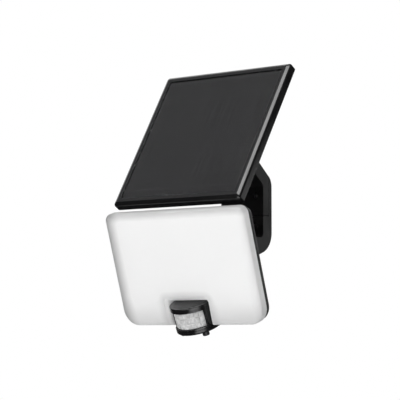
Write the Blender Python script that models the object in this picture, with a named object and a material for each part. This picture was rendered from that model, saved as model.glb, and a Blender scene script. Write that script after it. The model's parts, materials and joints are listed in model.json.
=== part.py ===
"""Solar floodlight with a motion sensor, on a C-shaped wall bracket.

Metres, +Z up, front towards -Y. The origin is the centre of the wall plate's back face, so the wall is
the plane Y = 0. The solar panel hangs on the bracket's upper arm, the lamp on its lower arm, and the sensor
tilts in a notch in the middle of the lamp's lower edge.

Each of the three moving groups is drawn in its own frame, held by an empty on its joint's axis. In these
frames X is to the right, Y is the depth behind the group's front rim, and Z runs up along its face.
"""
import math

import bmesh
import bpy

# Clearances and resolution
GAP = 0.0003                      # between pieces that touch on the real lamp
ROUND_STEPS = 18                  # sides of small turned pieces
CORNER_STEPS = 5                  # segments of a rounded corner
DRUM_STEPS = 20                   # segments of the sensor's half-round pieces
LENS_STEPS = 24
LUG_STEPS = 14
EDGE_STEPS = 6                    # segments of the diffuser's rounded edge
LIP_STEPS = 5                     # segments of the lip round the notch
SMOOTH_ANGLE = math.radians(35)   # edges sharper than this stay sharp

# Bracket, drawn as one side profile in Y and Z and cut into three pieces
BRACKET_HALF_WIDTH = 0.031
STRAP_DEPTH = 0.016               # wall to the strap's inner face
PLATE_THICKNESS = 0.005
UPPER_BEND = (0.0, 0.0428)        # outer corner where the upper arm leaves the wall
UPPER_BEND_RADIUS = 0.0166
LOWER_BEND = (0.0, -0.0363)       # outer corner where the lower arm leaves the wall
LOWER_BEND_RADIUS = 0.025
LOWER_SLOPE_END = (-0.0307, -0.0477)
LOWER_INNER_HEIGHT = -0.025
INNER_BEND_RADIUS = 0.005
SEAM_HALF_GAP = 0.0002
BRACKET_SCREW_X = 0.0195
BRACKET_SCREW_HEIGHTS = {"upper": 0.0234, "lower": -0.012}
WALL_SCREW_RADIUS = 0.0026
SCREW_HOLE_START = -0.03          # in front of the arms, where their cutters begin
FAR = 0.2                         # further than any piece reaches
PAST = 0.01                       # how far a cutter reaches out of the opening that it makes

# Panel hinge and panel, in a frame whose origin is the middle of the rim plane
PANEL_PIVOT = (0.0, -0.065, 0.0856)
PANEL_LEAN = math.radians(-31.22)
PANEL_PIVOT_DEPTH = 0.0219
PANEL_PIVOT_HEIGHT = 0.0098
PANEL_KNUCKLE_RADIUS = 0.008
PANEL_HALF_WIDTH = 0.0915
PANEL_HALF_HEIGHT = 0.092
PANEL_SIDE_DEPTH = 0.009
PANEL_BEVEL_WIDTH = 0.0043
PANEL_BEVEL_DEPTH = 0.0022
PANEL_LIP_WIDTH = 0.0042          # flat rim inside the bevel
PANEL_CORNER_RADIUS = 0.003
PANEL_INNER_RADIUS = 0.0015       # corners of the skirt's inside, the cover and the seal
SHEET_CORNER_RADIUS = 0.001
PANEL_SKIRT = 0.0022              # thickness of the frame's side walls
PANEL_FLANGE_INSET = 0.0105       # how far the ledge behind the sheets reaches in
PANEL_FLANGE_THICKNESS = 0.0017
PANEL_COVER_THICKNESS = 0.0018
PANEL_SEAL_WIDTH = 0.0022
PANEL_LUG_RADIUS = 0.0085
PANEL_LUG_HALF_HEIGHT = 0.011
PANEL_GLAND_HEIGHT = -0.045
SHEET_RECESS = 0.001              # front edge of the frame to the clear sheet
SHEET_THICKNESS = 0.001
CELL_THICKNESS = 0.0009
PANEL_SCREW_OFFSET = 0.0076       # in from the panel's sides

# Lamp hinge and lamp, in a frame whose origin is the middle of the diffuser's widest plane
LAMP_PIVOT = (0.0, -0.0747, -0.0367)
LAMP_LEAN = math.radians(17.46)
LAMP_PIVOT_DEPTH = 0.0531
LAMP_PIVOT_HEIGHT = 0.01055
LAMP_KNUCKLE_RADIUS = 0.011
LAMP_HALF_WIDTH = 0.100
LAMP_HALF_HEIGHT = 0.066
LAMP_TOP_RADIUS = 0.009
LAMP_BOTTOM_RADIUS = 0.019
LAMP_LEAST_TOP_RADIUS = 0.004     # corners of the rings well inside the outline
LAMP_LEAST_BOTTOM_RADIUS = 0.006
DIFFUSER_SKIRT_DEPTH = 0.0083
DIFFUSER_EDGE_WIDTH = 0.012       # how far the rounded edge reaches in
DIFFUSER_EDGE_DEPTH = 0.0056
DIFFUSER_EDGE_START = 0.001       # depth where the rounded edge leaves the skirt
DIFFUSER_CROWN = 0.0012
CROWN_RINGS = ((0.045, 1.0), (0.028, 0.65))  # inset, and share of the crown's height there
DIFFUSER_WALL = 0.002
HOUSING_INSET = 0.001             # housing stands back from the diffuser's sides
HOUSING_WALL = 0.0022
HOUSING_STRAIGHT_END = 0.0112
HOUSING_BAND_END = 0.0137
HOUSING_BAND_DROP = 0.0025        # slope of the band's top side behind its straight part, to clear the panel
HOUSING_EDGE = 0.0012             # half width of the rounded rear edge
HOUSING_TAPER_INSET = 0.0016
HOUSING_BACK_DEPTH = 0.038
HOUSING_BACK_HALF_WIDTH = 0.078
HOUSING_BACK_TOP = 0.0325
HOUSING_BACK_BOTTOM = -0.048
HOUSING_BACK_RADIUS = 0.012
LAMP_LUG_RADIUS = 0.010
LAMP_LUG_HALF_HEIGHT = 0.013
SEAL_THICKNESS = 0.0018
SEAL_WIDTH = 0.0016
SEAL_NOTCH_MARGIN = 0.003

# Hinges, the same pattern for the panel and the lamp
KNUCKLE_HALF_WIDTH = 0.020
WASHER_THICKNESS = 0.001
PANEL_WASHER_RADIUS = 0.007
LAMP_WASHER_RADIUS = 0.009
LUG_THICKNESS = 0.007
BOLT_RADIUS = 0.0024
BOLT_HEAD_APOTHEM = 0.004
BOLT_HEAD_THICKNESS = 0.0035
BOLT_END = 0.001                  # how far a bolt stands out of its nut
SLOT_REACH = 0.0135               # depth of the clearance behind a pivot for the lugs to turn in
SLOT_HALF_HEIGHT = 0.03

# Notch for the sensor, and the sensor in a frame whose origin is its pivot
NOTCH_HALF_WIDTH = 0.0283
NOTCH_TOP = -0.0370
NOTCH_LIP = 0.005                 # radius of the rounded lip round the notch
NOTCH_CORNER_RADIUS = 0.0025
NOTCH_FOOT = -0.1                 # below the lamp, where the notch is open
NOTCH_FOOT_RADIUS = 0.001
NOTCH_FLARE = 0.002               # further flare in front of the lip
NOTCH_FLARE_DEPTH = 0.004
NOTCH_BACK = 0.05                 # behind the diffuser's walls
SENSOR_PIVOT_DEPTH = 0.012
SENSOR_PIVOT_HEIGHT = -0.0549
SENSOR_LEAN = math.radians(6.3)
DRUM_CENTRE_DEPTH = -0.0048
DRUM_BACK_DEPTH = 0.004
DRUM_RADIUS = 0.0263
DRUM_INNER_RADIUS = 0.0228
DRUM_WALL = 0.002                 # back wall and floor
CAP_RADIUS = 0.027
CAP_BOTTOM = 0.0105
CAP_TOP = 0.0169
CAP_ROUNDING = 0.0008
LENS_RADIUS = 0.0245
LENS_WALL = 0.0012
LENS_BOTTOM = -0.0088
WINDOW_HALF_ANGLE = 63            # degrees either side of the front
RING_BOTTOM = -0.0158
RING_ROUNDING = 0.0022
PIN_RADIUS = 0.0016
DIAL_X = 0.0156
DIAL_DEPTH = -0.015
DIAL_RADIUS = 0.00405
DIAL_HEIGHT = 0.0046
DIAL_SLOT_HALF_WIDTH = 0.0005
DIAL_SLOT_DEPTH = 0.0012
DIAL_SLOT_SHARE = 0.7             # half length of the slot, as a share of the dial's radius
DIAL_CHAMFER = 0.0003
DIAL_SHAFT_RADIUS = 0.0016
SENSOR_BOARD_LOW = (-0.017, -0.001, -0.0078)
SENSOR_BOARD_HIGH = (0.017, 0.0004, 0.0085)
PYRO_FLANGE_RADIUS = 0.0048
PYRO_FLANGE_HEIGHT = 0.0008
PYRO_CAN_RADIUS = 0.0041
PYRO_HEIGHT = 0.0042
BASE_HALF_WIDTH = 0.0303
BASE_INNER_HALF_WIDTH = 0.0276
BASE_TOP = -0.035
BASE_BOTTOM = -0.065
BASE_BACK_DEPTH = 0.0264
BASE_WALL = 0.002

# Inner pieces of the lamp
BOARD_HALF_WIDTH = 0.084
BOARD_TOP = 0.054
BOARD_BOTTOM = -0.027
BOARD_DEPTH = 0.0093
BOARD_THICKNESS = 0.0016
TRAY_WALL = 0.0012
TRAY_FRONT = 0.0025
TRAY_RADIUS = 0.006
TRAY_FLOOR_MARGINS = (0.004, 0.003)    # round the board, sideways and upwards, at the tray's floor
TRAY_RIM_MARGINS = (0.0105, 0.0045)
LED_COLUMNS = 10
LED_ROWS = 3
LED_HEIGHT = 0.0007
LED_MARGIN = 0.0022               # from a chip's edge to its cell of the grid
CELL_RADIUS = 0.0092
CELL_HALF_LENGTH = 0.0325
CELL_CAP_RADIUS = 0.003
CELL_CAP_HEIGHT = 0.001
CELL_CENTRE_DEPTH = 0.0245
HOLDER_MARGIN = 0.001             # above and below the cells
HOLDER_END_WALL = 0.0025
CELL_HEIGHTS = {"upper": 0.018, "lower": -0.004}
CONTROL_BOARD_LOW = (0.042, 0.0275, -0.018)
CONTROL_BOARD_HIGH = (0.066, 0.0291, 0.022)
BUTTON_PLACE = (0.050, -0.028)
BUTTON_RADIUS = 0.0052
BUTTON_HOLE_RADIUS = 0.0063
BUTTON_PROUD = 0.0028
BUTTON_FLANGE_RADIUS = 0.0068
BUTTON_FLANGE_THICKNESS = 0.0009
BUTTON_CHAMFER = 0.0008
BOOT_RADIUS = 0.0078              # rubber boot round the button
BOOT_THICKNESS = 0.0008
GLAND_PLACE = (-0.050, -0.028)
LAMP_SCREW_X = 0.069
LAMP_SCREW_HEIGHTS = {"upper": 0.025, "lower": -0.039}
SCREW_RADIUS = 0.0015
SCREW_HEAD_RADIUS = 0.0031
SCREW_HEAD_THICKNESS = 0.0014
SCREW_TOP_SHARE = 0.8             # radius of a head's top, as a share of the head's radius
RECESS_HALF_WIDTH = 0.0004        # arms of a screw's cross recess
RECESS_REACH_SHARE = 0.55
RECESS_DEPTH_SHARE = 0.5
PANEL_SCREW_TIP = 0.0036
LAMP_SCREW_TIP = 0.016

# Cable glands: radii, and heights above the face that they stand on
GLAND_BORE = 0.002
GLAND_FLANGE_RADIUS = 0.007
GLAND_FLANGE_HEIGHT = 0.0015
GLAND_HEXAGON_APOTHEM = 0.0055
GLAND_HEXAGON_HEIGHT = 0.0055
GLAND_NOSE_BASE_RADIUS = 0.0048
GLAND_NOSE_TIP_RADIUS = 0.0036
GLAND_HEIGHT = 0.0095

# Finishes: base colour, roughness, metallic
FINISHES = {
    "black_plastic": ((0.02, 0.02, 0.021), 0.42, 0.0),
    "frame_plastic": ((0.025, 0.025, 0.027), 0.32, 0.0),
    "clear_sheet": ((0.06, 0.06, 0.065), 0.10, 0.0),
    "solar_cells": ((0.03, 0.031, 0.036), 0.25, 0.0),
    "opal_plastic": ((0.90, 0.90, 0.90), 0.35, 0.0),
    "white_plastic": ((0.85, 0.85, 0.85), 0.50, 0.0),
    "window_plastic": ((0.70, 0.70, 0.70), 0.30, 0.0),
    "rubber": ((0.03, 0.03, 0.03), 0.80, 0.0),
    "steel": ((0.55, 0.55, 0.56), 0.35, 1.0),
    "circuit_board": ((0.03, 0.16, 0.07), 0.50, 0.0),
    "light_board": ((0.80, 0.80, 0.80), 0.45, 0.0),
    "battery_wrap": ((0.10, 0.22, 0.45), 0.40, 0.0),
}


# ---------------------------------------------------------------- outlines

def arc(centre, radius, start, end, steps):
    """Points along an arc, in degrees from the first axis towards the second."""
    points = []
    for step in range(steps + 1):
        angle = math.radians(start + (end - start) * step / steps)
        points.append((centre[0] + radius * math.cos(angle), centre[1] + radius * math.sin(angle)))
    return points


def fillet(before, corner, after, radius, steps=6):
    """Arc that rounds a corner of an outline."""
    into = (before[0] - corner[0], before[1] - corner[1])
    out = (after[0] - corner[0], after[1] - corner[1])
    into_angle = math.atan2(into[1], into[0])
    out_angle = math.atan2(out[1], out[0])
    spread = (out_angle - into_angle + math.pi) % (2 * math.pi) - math.pi
    middle = into_angle + spread / 2
    reach = radius / math.sin(abs(spread) / 2)
    centre = (corner[0] + reach * math.cos(middle), corner[1] + reach * math.sin(middle))
    sweep = math.pi - abs(spread)
    first = middle + math.pi + math.copysign(sweep / 2, spread)
    first_degrees = math.degrees(first)
    last_degrees = first_degrees - math.copysign(math.degrees(sweep), spread)
    return arc(centre, radius, first_degrees, last_degrees, steps)


def rounded_rectangle(half_width, top, bottom, top_radius, bottom_radius):
    """Outline in X and Z, anticlockwise from the lower right corner."""
    right_low = (half_width - bottom_radius, bottom + bottom_radius)
    right_high = (half_width - top_radius, top - top_radius)
    left_high = (top_radius - half_width, top - top_radius)
    left_low = (bottom_radius - half_width, bottom + bottom_radius)
    points = arc(right_low, bottom_radius, -90, 0, CORNER_STEPS)
    points += arc(right_high, top_radius, 0, 90, CORNER_STEPS)
    points += arc(left_high, top_radius, 90, 180, CORNER_STEPS)
    points += arc(left_low, bottom_radius, 180, 270, CORNER_STEPS)
    return points


def half_round(radius, centre, back):
    """Plan outline in X and Y: a half circle to the front with straight sides running back."""
    return [(radius, back)] + arc((0.0, centre), radius, 0, -180, DRUM_STEPS) + [(-radius, back)]


def circle(radius):
    return arc((0.0, 0.0), radius, 0, 360 * (ROUND_STEPS - 1) / ROUND_STEPS, ROUND_STEPS - 1)


def hexagon(apothem):
    """Hexagon with as many points as a circle, so that the two can be joined."""
    points = []
    for x, y in circle(1.0):
        angle = math.degrees(math.atan2(y, x)) % 60 - 30
        reach = apothem / math.cos(math.radians(angle))
        points.append((x * reach, y * reach))
    return points


# ---------------------------------------------------------------- solids

def clear_scene():
    for piece in list(bpy.data.objects):
        bpy.data.objects.remove(piece, do_unlink=True)


def material_for(name, finish):
    colour, roughness, metallic = FINISHES[finish]
    material = bpy.data.materials.new(name)
    material.use_nodes = True
    shader = material.node_tree.nodes["Principled BSDF"]
    shader.inputs["Base Color"].default_value = (*colour, 1.0)
    shader.inputs["Roughness"].default_value = roughness
    shader.inputs["Metallic"].default_value = metallic
    return material


def frame(name, place, lean, parent=None):
    """An empty that holds a group of pieces."""
    empty = bpy.data.objects.new(name, None)
    empty.location = place
    empty.rotation_euler = (lean, 0.0, 0.0)
    empty.parent = parent
    bpy.context.collection.objects.link(empty)
    return empty


def loft(name, rings, parent=None, finish=None, closed=False, place=(0.0, 0.0, 0.0)):
    """Solid through a row of rings with equal numbers of points.

    An open row is capped at both ends. A closed row joins its last ring to its first, into a hollow ring.
    A solid without a finish is a cutter or a shape to be joined, and isn't a piece of the lamp.
    """
    mesh = bpy.data.meshes.new(name)
    build = bmesh.new()
    rows = [[build.verts.new(point) for point in ring] for ring in rings]
    count = len(rows[0])
    pairs = list(zip(rows, rows[1:]))
    if closed:
        pairs.append((rows[-1], rows[0]))
    else:
        build.faces.new(rows[0])
        build.faces.new(rows[-1])
    for low, high in pairs:
        for index in range(count):
            after = (index + 1) % count
            build.faces.new((low[index], low[after], high[after], high[index]))
    bmesh.ops.recalc_face_normals(build, faces=build.faces)
    build.to_mesh(mesh)
    build.free()
    piece = bpy.data.objects.new(name, mesh)
    piece.location = place
    piece.parent = parent
    bpy.context.collection.objects.link(piece)
    if finish is None:
        piece.hide_render = True
        piece.display_type = "WIRE"
    else:
        mesh.materials.append(material_for(name, finish))
        mesh.shade_smooth()
        mesh.set_sharp_from_angle(angle=SMOOTH_ANGLE)
    return piece


def along_x(outline, x):
    return [(x, first, second) for first, second in outline]


def along_y(outline, y):
    return [(first, y, second) for first, second in outline]


def along_z(outline, z):
    return [(first, second, z) for first, second in outline]


def block(name, low, high, parent=None, finish=None):
    corners = [(low[0], low[2]), (high[0], low[2]), (high[0], high[2]), (low[0], high[2])]
    return loft(name, [along_y(corners, low[1]), along_y(corners, high[1])], parent, finish)


def rod(name, radius, low, high, parent=None, finish=None, place=(0.0, 0.0, 0.0), along=along_x):
    """Plain round solid along one axis."""
    return loft(name, [along(circle(radius), low), along(circle(radius), high)], parent, finish, place=place)


def combine(piece, other, operation):
    modifier = piece.modifiers.new(operation.lower(), "BOOLEAN")
    modifier.operation = operation
    modifier.solver = "EXACT"
    modifier.object = other


def cut(piece, cutter):
    combine(piece, cutter, "DIFFERENCE")


def join(piece, other):
    combine(piece, other, "UNION")


def keep_inside(piece, region):
    combine(piece, region, "INTERSECT")


def screw(name, parent, place, head_depth, tip_depth):
    """Pan screw driven along Y, from its head towards its tip, with a cross recess in the head."""
    step = math.copysign(1.0, head_depth - tip_depth)
    head_top = head_depth + step * SCREW_HEAD_THICKNESS
    rings = [
        along_y(circle(SCREW_RADIUS), tip_depth),
        along_y(circle(SCREW_RADIUS), head_depth),
        along_y(circle(SCREW_HEAD_RADIUS), head_depth),
        along_y(circle(SCREW_HEAD_RADIUS * SCREW_TOP_SHARE), head_top),
    ]
    piece = loft(name, rings, parent, "steel", place=place)
    reach = SCREW_HEAD_RADIUS * RECESS_REACH_SHARE
    depth = SCREW_HEAD_THICKNESS * RECESS_DEPTH_SHARE
    for index, (width, height) in enumerate(((reach, RECESS_HALF_WIDTH), (RECESS_HALF_WIDTH, reach))):
        low = (place[0] - width, head_top - depth, place[2] - height)
        high = (place[0] + width, head_top + depth, place[2] + height)
        cut(piece, block(f"{name}_slot_{index}", low, high, parent))


# ---------------------------------------------------------------- bracket

def bracket_profile():
    """Side profile of the whole bracket in Y and Z, clockwise from the wall above the seam."""
    direction = (PANEL_PIVOT[1] - UPPER_BEND[0], PANEL_PIVOT[2] - UPPER_BEND[1])
    length = math.hypot(*direction)
    lean = math.asin(PANEL_KNUCKLE_RADIUS / length)
    outer_angle = math.atan2(direction[1], direction[0]) - lean
    knuckle = PANEL_PIVOT[1:]
    outer_degrees = math.degrees(outer_angle)
    inner_line = (
        knuckle[0] - PANEL_KNUCKLE_RADIUS * math.cos(outer_angle - math.pi / 2),
        knuckle[1] - PANEL_KNUCKLE_RADIUS * math.sin(outer_angle - math.pi / 2),
    )
    inner_rise = math.tan(outer_angle) * (-STRAP_DEPTH - inner_line[0])
    upper_inner_bend = (-STRAP_DEPTH, inner_line[1] + inner_rise)
    lower_inner_bend = (-STRAP_DEPTH, LOWER_INNER_HEIGHT)
    lamp = LAMP_PIVOT[1:]
    lamp_top = (lamp[0], lamp[1] + LAMP_KNUCKLE_RADIUS)

    points = fillet((0.0, 0.0), UPPER_BEND, knuckle, UPPER_BEND_RADIUS)
    points += arc(knuckle, PANEL_KNUCKLE_RADIUS, outer_degrees - 90, outer_degrees + 90, 12)
    points += fillet(inner_line, upper_inner_bend, lower_inner_bend, INNER_BEND_RADIUS)
    points += fillet(upper_inner_bend, lower_inner_bend, lamp_top, INNER_BEND_RADIUS)
    points += arc(lamp, LAMP_KNUCKLE_RADIUS, 90, 270, 16)
    points.append(LOWER_SLOPE_END)
    points += fillet(LOWER_SLOPE_END, LOWER_BEND, (0.0, 0.0), LOWER_BEND_RADIUS, 10)
    return points


def bracket_piece(name, low_y, high_y, low_z, high_z):
    """One piece of the bracket: the whole profile, kept between two depths and two heights."""
    profile = bracket_profile()
    half = BRACKET_HALF_WIDTH
    piece = loft(name, [along_x(profile, -half), along_x(profile, half)], None, "black_plastic")
    region = block(f"{name}_region", (-FAR, low_y, low_z), (FAR, high_y, high_z))
    keep_inside(piece, region)
    return piece


def cut_hinge_slots(arm, name, pivot, lean):
    """Clear both sides of an arm's end, so that the lugs can turn there."""
    slot_frame = frame(f"{name}_slot_frame", pivot, lean)
    for side in (-1, 1):
        inner = side * KNUCKLE_HALF_WIDTH
        outer = side * FAR
        low = (min(inner, outer), -SLOT_HALF_HEIGHT, -SLOT_HALF_HEIGHT)
        high = (max(inner, outer), SLOT_REACH, SLOT_HALF_HEIGHT)
        cut(arm, block(f"{name}_slot_{side}", low, high, slot_frame))


def make_bracket():
    front_of_plate = -PLATE_THICKNESS - GAP
    plate = bracket_piece("wall_plate", -PLATE_THICKNESS, FAR, -FAR, FAR)
    upper = bracket_piece("upper_arm", -FAR, front_of_plate, SEAM_HALF_GAP, FAR)
    lower = bracket_piece("lower_arm", -FAR, front_of_plate, -FAR, -SEAM_HALF_GAP)
    arms = {"upper": upper, "lower": lower}
    upper_lean = math.atan2(UPPER_BEND[1] - PANEL_PIVOT[2], -PANEL_PIVOT[1])
    cut_hinge_slots(upper, "upper", PANEL_PIVOT, upper_lean)
    cut_hinge_slots(lower, "lower", LAMP_PIVOT, 0.0)
    bore_radius = BOLT_RADIUS + GAP
    cut(upper, rod("upper_bore", bore_radius, -FAR, FAR, place=PANEL_PIVOT))
    cut(lower, rod("lower_bore", bore_radius, -FAR, FAR, place=LAMP_PIVOT))

    head_depth = -STRAP_DEPTH + SCREW_HEAD_THICKNESS + GAP
    tip_depth = -PLATE_THICKNESS / 2
    for level, height in BRACKET_SCREW_HEIGHTS.items():
        for side, x in (("left", -BRACKET_SCREW_X), ("right", BRACKET_SCREW_X)):
            name = f"bracket_screw_{level}_{side}"
            place = (x, 0.0, height)
            screw(name, None, place, head_depth, tip_depth)
            start = SCREW_HOLE_START
            hole = rod(f"{name}_hole", SCREW_RADIUS + GAP, start, tip_depth + GAP, place=place, along=along_y)
            seat_radius = SCREW_HEAD_RADIUS + GAP
            seat = rod(f"{name}_seat", seat_radius, start, head_depth + GAP, place=place, along=along_y)
            cut(arms[level], hole)
            cut(arms[level], seat)
            cut(plate, hole)
        centre = (0.0, 0.0, height)
        cut(plate, rod(f"wall_hole_{level}", WALL_SCREW_RADIUS, -FAR, FAR, place=centre, along=along_y))


# ---------------------------------------------------------------- hinges

def hinge_lug(name, side, radius, base_depth, base_half_height, pivot, parent):
    """Ear that stands on a back face and holds one end of a hinge bolt."""
    reach = pivot[0] - base_depth
    outline = [(base_depth, pivot[1] + base_half_height)]
    outline.append((base_depth, pivot[1] - base_half_height))
    spread = math.atan2(base_half_height, reach)
    tangent = math.degrees(spread + math.acos(radius / math.hypot(base_half_height, reach)))
    outline += arc(pivot, radius, tangent - 180, 180 - tangent, LUG_STEPS)
    inner = side * (KNUCKLE_HALF_WIDTH + WASHER_THICKNESS + 2 * GAP)
    outer = inner + side * LUG_THICKNESS
    return loft(name, [along_x(outline, inner), along_x(outline, outer)], parent)


def hinge_hardware(name, pivot_frame, washer_radius):
    """Bolt, nut and two friction washers round a pivot at the frame's origin."""
    lug_face = KNUCKLE_HALF_WIDTH + WASHER_THICKNESS + 2 * GAP + LUG_THICKNESS
    head_face = lug_face + GAP
    head_end = head_face + BOLT_HEAD_THICKNESS
    rings = [
        along_x(hexagon(BOLT_HEAD_APOTHEM), head_end),
        along_x(hexagon(BOLT_HEAD_APOTHEM), head_face),
        along_x(circle(BOLT_RADIUS), head_face),
        along_x(circle(BOLT_RADIUS), -head_end - BOLT_END),
    ]
    loft(f"{name}_hinge_bolt", rings, pivot_frame, "steel")
    bore = circle(BOLT_RADIUS + GAP)
    nut = hexagon(BOLT_HEAD_APOTHEM)
    rings = [
        along_x(nut, -head_face),
        along_x(nut, -head_end),
        along_x(bore, -head_end),
        along_x(bore, -head_face),
    ]
    loft(f"{name}_hinge_nut", rings, pivot_frame, "steel", closed=True)
    for side, sign in (("left", -1), ("right", 1)):
        near = sign * (KNUCKLE_HALF_WIDTH + GAP)
        far = near + sign * WASHER_THICKNESS
        rim = circle(washer_radius)
        rings = [along_x(rim, near), along_x(rim, far), along_x(bore, far), along_x(bore, near)]
        loft(f"{name}_friction_washer_{side}", rings, pivot_frame, "rubber", closed=True)


def add_lugs(piece, name, radius, base_depth, base_half_height, pivot, parent):
    for side in (-1, 1):
        lug = hinge_lug(f"{name}_lug_{side}", side, radius, base_depth, base_half_height, pivot, parent)
        join(piece, lug)
    bore_place = (0.0, pivot[0], pivot[1])
    cut(piece, rod(f"{name}_lug_bore", BOLT_RADIUS + GAP, -FAR, FAR, parent, None, bore_place))


# ---------------------------------------------------------------- panel

def panel_ring(inset, depth, radius):
    width = PANEL_HALF_WIDTH - inset
    height = PANEL_HALF_HEIGHT - inset
    return along_y(rounded_rectangle(width, height, -height, radius, radius), depth)


def make_panel_frame(face):
    """Surround with a bevelled front edge, a seat for the sheets and a skirt round the back."""
    front = -PANEL_BEVEL_DEPTH
    seat_depth = front + SHEET_RECESS + SHEET_THICKNESS + CELL_THICKNESS + 2 * GAP
    flange_depth = seat_depth + PANEL_FLANGE_THICKNESS
    lip = PANEL_BEVEL_WIDTH + PANEL_LIP_WIDTH
    rings = [
        panel_ring(0.0, PANEL_SIDE_DEPTH, PANEL_CORNER_RADIUS),
        panel_ring(0.0, 0.0, PANEL_CORNER_RADIUS),
        panel_ring(PANEL_BEVEL_WIDTH, front, SHEET_CORNER_RADIUS),
        panel_ring(lip, front, SHEET_CORNER_RADIUS),
        panel_ring(lip, seat_depth, SHEET_CORNER_RADIUS),
        panel_ring(PANEL_FLANGE_INSET, seat_depth, SHEET_CORNER_RADIUS),
        panel_ring(PANEL_FLANGE_INSET, flange_depth, SHEET_CORNER_RADIUS),
        panel_ring(PANEL_SKIRT, flange_depth, PANEL_INNER_RADIUS),
        panel_ring(PANEL_SKIRT, PANEL_SIDE_DEPTH, PANEL_INNER_RADIUS),
    ]
    loft("panel_frame", rings, face, "frame_plastic", closed=True)


def make_panel_sheets(face):
    inset = PANEL_BEVEL_WIDTH + PANEL_LIP_WIDTH + GAP
    radius = SHEET_CORNER_RADIUS
    top = SHEET_RECESS - PANEL_BEVEL_DEPTH
    rings = [panel_ring(inset, top, radius), panel_ring(inset, top + SHEET_THICKNESS, radius)]
    loft("panel_cover_sheet", rings, face, "clear_sheet")
    cell_top = top + SHEET_THICKNESS + GAP
    rings = [panel_ring(inset, cell_top, radius), panel_ring(inset, cell_top + CELL_THICKNESS, radius)]
    loft("solar_cell_sheet", rings, face, "solar_cells")


def make_panel_back(face):
    """Back cover with its hinge lugs, and the seal that it presses on."""
    plate_depth = PANEL_SIDE_DEPTH - PANEL_COVER_THICKNESS
    inset = PANEL_SKIRT + GAP
    outline_radius = PANEL_INNER_RADIUS
    plate = [panel_ring(inset, depth, outline_radius) for depth in (plate_depth, PANEL_SIDE_DEPTH)]
    cover = loft("panel_back_cover", plate, face, "black_plastic")
    pivot = (PANEL_PIVOT_DEPTH, PANEL_PIVOT_HEIGHT)
    base_depth = PANEL_SIDE_DEPTH - PANEL_COVER_THICKNESS / 2
    add_lugs(cover, "panel", PANEL_LUG_RADIUS, base_depth, PANEL_LUG_HALF_HEIGHT, pivot, face)

    seal_front = PANEL_SCREW_TIP
    seal_back = plate_depth - GAP
    seal_inner = inset + PANEL_SEAL_WIDTH
    rings = [
        panel_ring(inset, seal_front, outline_radius),
        panel_ring(inset, seal_back, outline_radius),
        panel_ring(seal_inner, seal_back, SHEET_CORNER_RADIUS),
        panel_ring(seal_inner, seal_front, SHEET_CORNER_RADIUS),
    ]
    loft("panel_seal", rings, face, "rubber", closed=True)

    head_depth = PANEL_SIDE_DEPTH - PANEL_COVER_THICKNESS / 2
    for level, sign_z in (("upper", 1), ("lower", -1)):
        for side, sign_x in (("left", -1), ("right", 1)):
            name = f"panel_screw_{level}_{side}"
            x = sign_x * (PANEL_HALF_WIDTH - PANEL_SCREW_OFFSET)
            z = sign_z * (PANEL_HALF_HEIGHT - PANEL_SCREW_OFFSET)
            place = (x, 0.0, z)
            screw(name, face, place, head_depth, PANEL_SCREW_TIP)
            hole = rod(f"{name}_hole", SCREW_RADIUS + GAP, 0.0, FAR, face, None, place, along_y)
            seat_radius = SCREW_HEAD_RADIUS + GAP
            seat = rod(f"{name}_seat", seat_radius, head_depth - GAP, FAR, face, None, place, along_y)
            cut(cover, hole)
            cut(cover, seat)


def make_gland(name, parent, place, base_depth):
    """Cable gland: flange, hexagon and tapered nose round a bore."""
    base = base_depth + GAP
    tip = base + GLAND_HEIGHT
    rings = [
        along_y(circle(GLAND_FLANGE_RADIUS), base),
        along_y(circle(GLAND_FLANGE_RADIUS), base + GLAND_FLANGE_HEIGHT),
        along_y(hexagon(GLAND_HEXAGON_APOTHEM), base + GLAND_FLANGE_HEIGHT),
        along_y(hexagon(GLAND_HEXAGON_APOTHEM), base + GLAND_HEXAGON_HEIGHT),
        along_y(circle(GLAND_NOSE_BASE_RADIUS), base + GLAND_HEXAGON_HEIGHT),
        along_y(circle(GLAND_NOSE_TIP_RADIUS), tip),
        along_y(circle(GLAND_BORE), tip),
        along_y(circle(GLAND_BORE), base),
    ]
    loft(name, rings, parent, "black_plastic", closed=True, place=place)


def make_panel():
    pivot_frame = frame("panel_pivot", PANEL_PIVOT, PANEL_LEAN)
    face = frame("panel_face", (0.0, -PANEL_PIVOT_DEPTH, -PANEL_PIVOT_HEIGHT), 0.0, pivot_frame)
    make_panel_frame(face)
    make_panel_sheets(face)
    make_panel_back(face)
    make_gland("panel_cable_gland", face, (0.0, 0.0, PANEL_GLAND_HEIGHT), PANEL_SIDE_DEPTH)
    hinge_hardware("panel", pivot_frame, PANEL_WASHER_RADIUS)


# ---------------------------------------------------------------- lamp

def lamp_ring(inset, depth, drop=0.0):
    """Ring of the lamp's rounded outline, moved in by an inset, and at its top also by a drop."""
    top_radius = max(LAMP_TOP_RADIUS - inset, LAMP_LEAST_TOP_RADIUS)
    bottom_radius = max(LAMP_BOTTOM_RADIUS - inset, LAMP_LEAST_BOTTOM_RADIUS)
    width = LAMP_HALF_WIDTH - inset
    height = LAMP_HALF_HEIGHT - inset
    return along_y(rounded_rectangle(width, height - drop, -height, top_radius, bottom_radius), depth)


def diffuser_rings(wall, skirt_depth):
    """Rings of the crowned front, from the middle out to the skirt, moved in by a wall thickness."""
    start = DIFFUSER_EDGE_START
    front = start - DIFFUSER_EDGE_DEPTH + wall
    rings = [lamp_ring(inset, front - DIFFUSER_CROWN * share) for inset, share in CROWN_RINGS]
    edge_width = DIFFUSER_EDGE_WIDTH - wall
    for step in range(EDGE_STEPS + 1):
        angle = math.radians(90 * (1 - step / EDGE_STEPS))
        inset = wall + edge_width * (1 - math.cos(angle))
        depth = start - (start - front) * math.sin(angle)
        rings.append(lamp_ring(inset, depth))
    rings.append(lamp_ring(wall, skirt_depth))
    return rings


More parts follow.
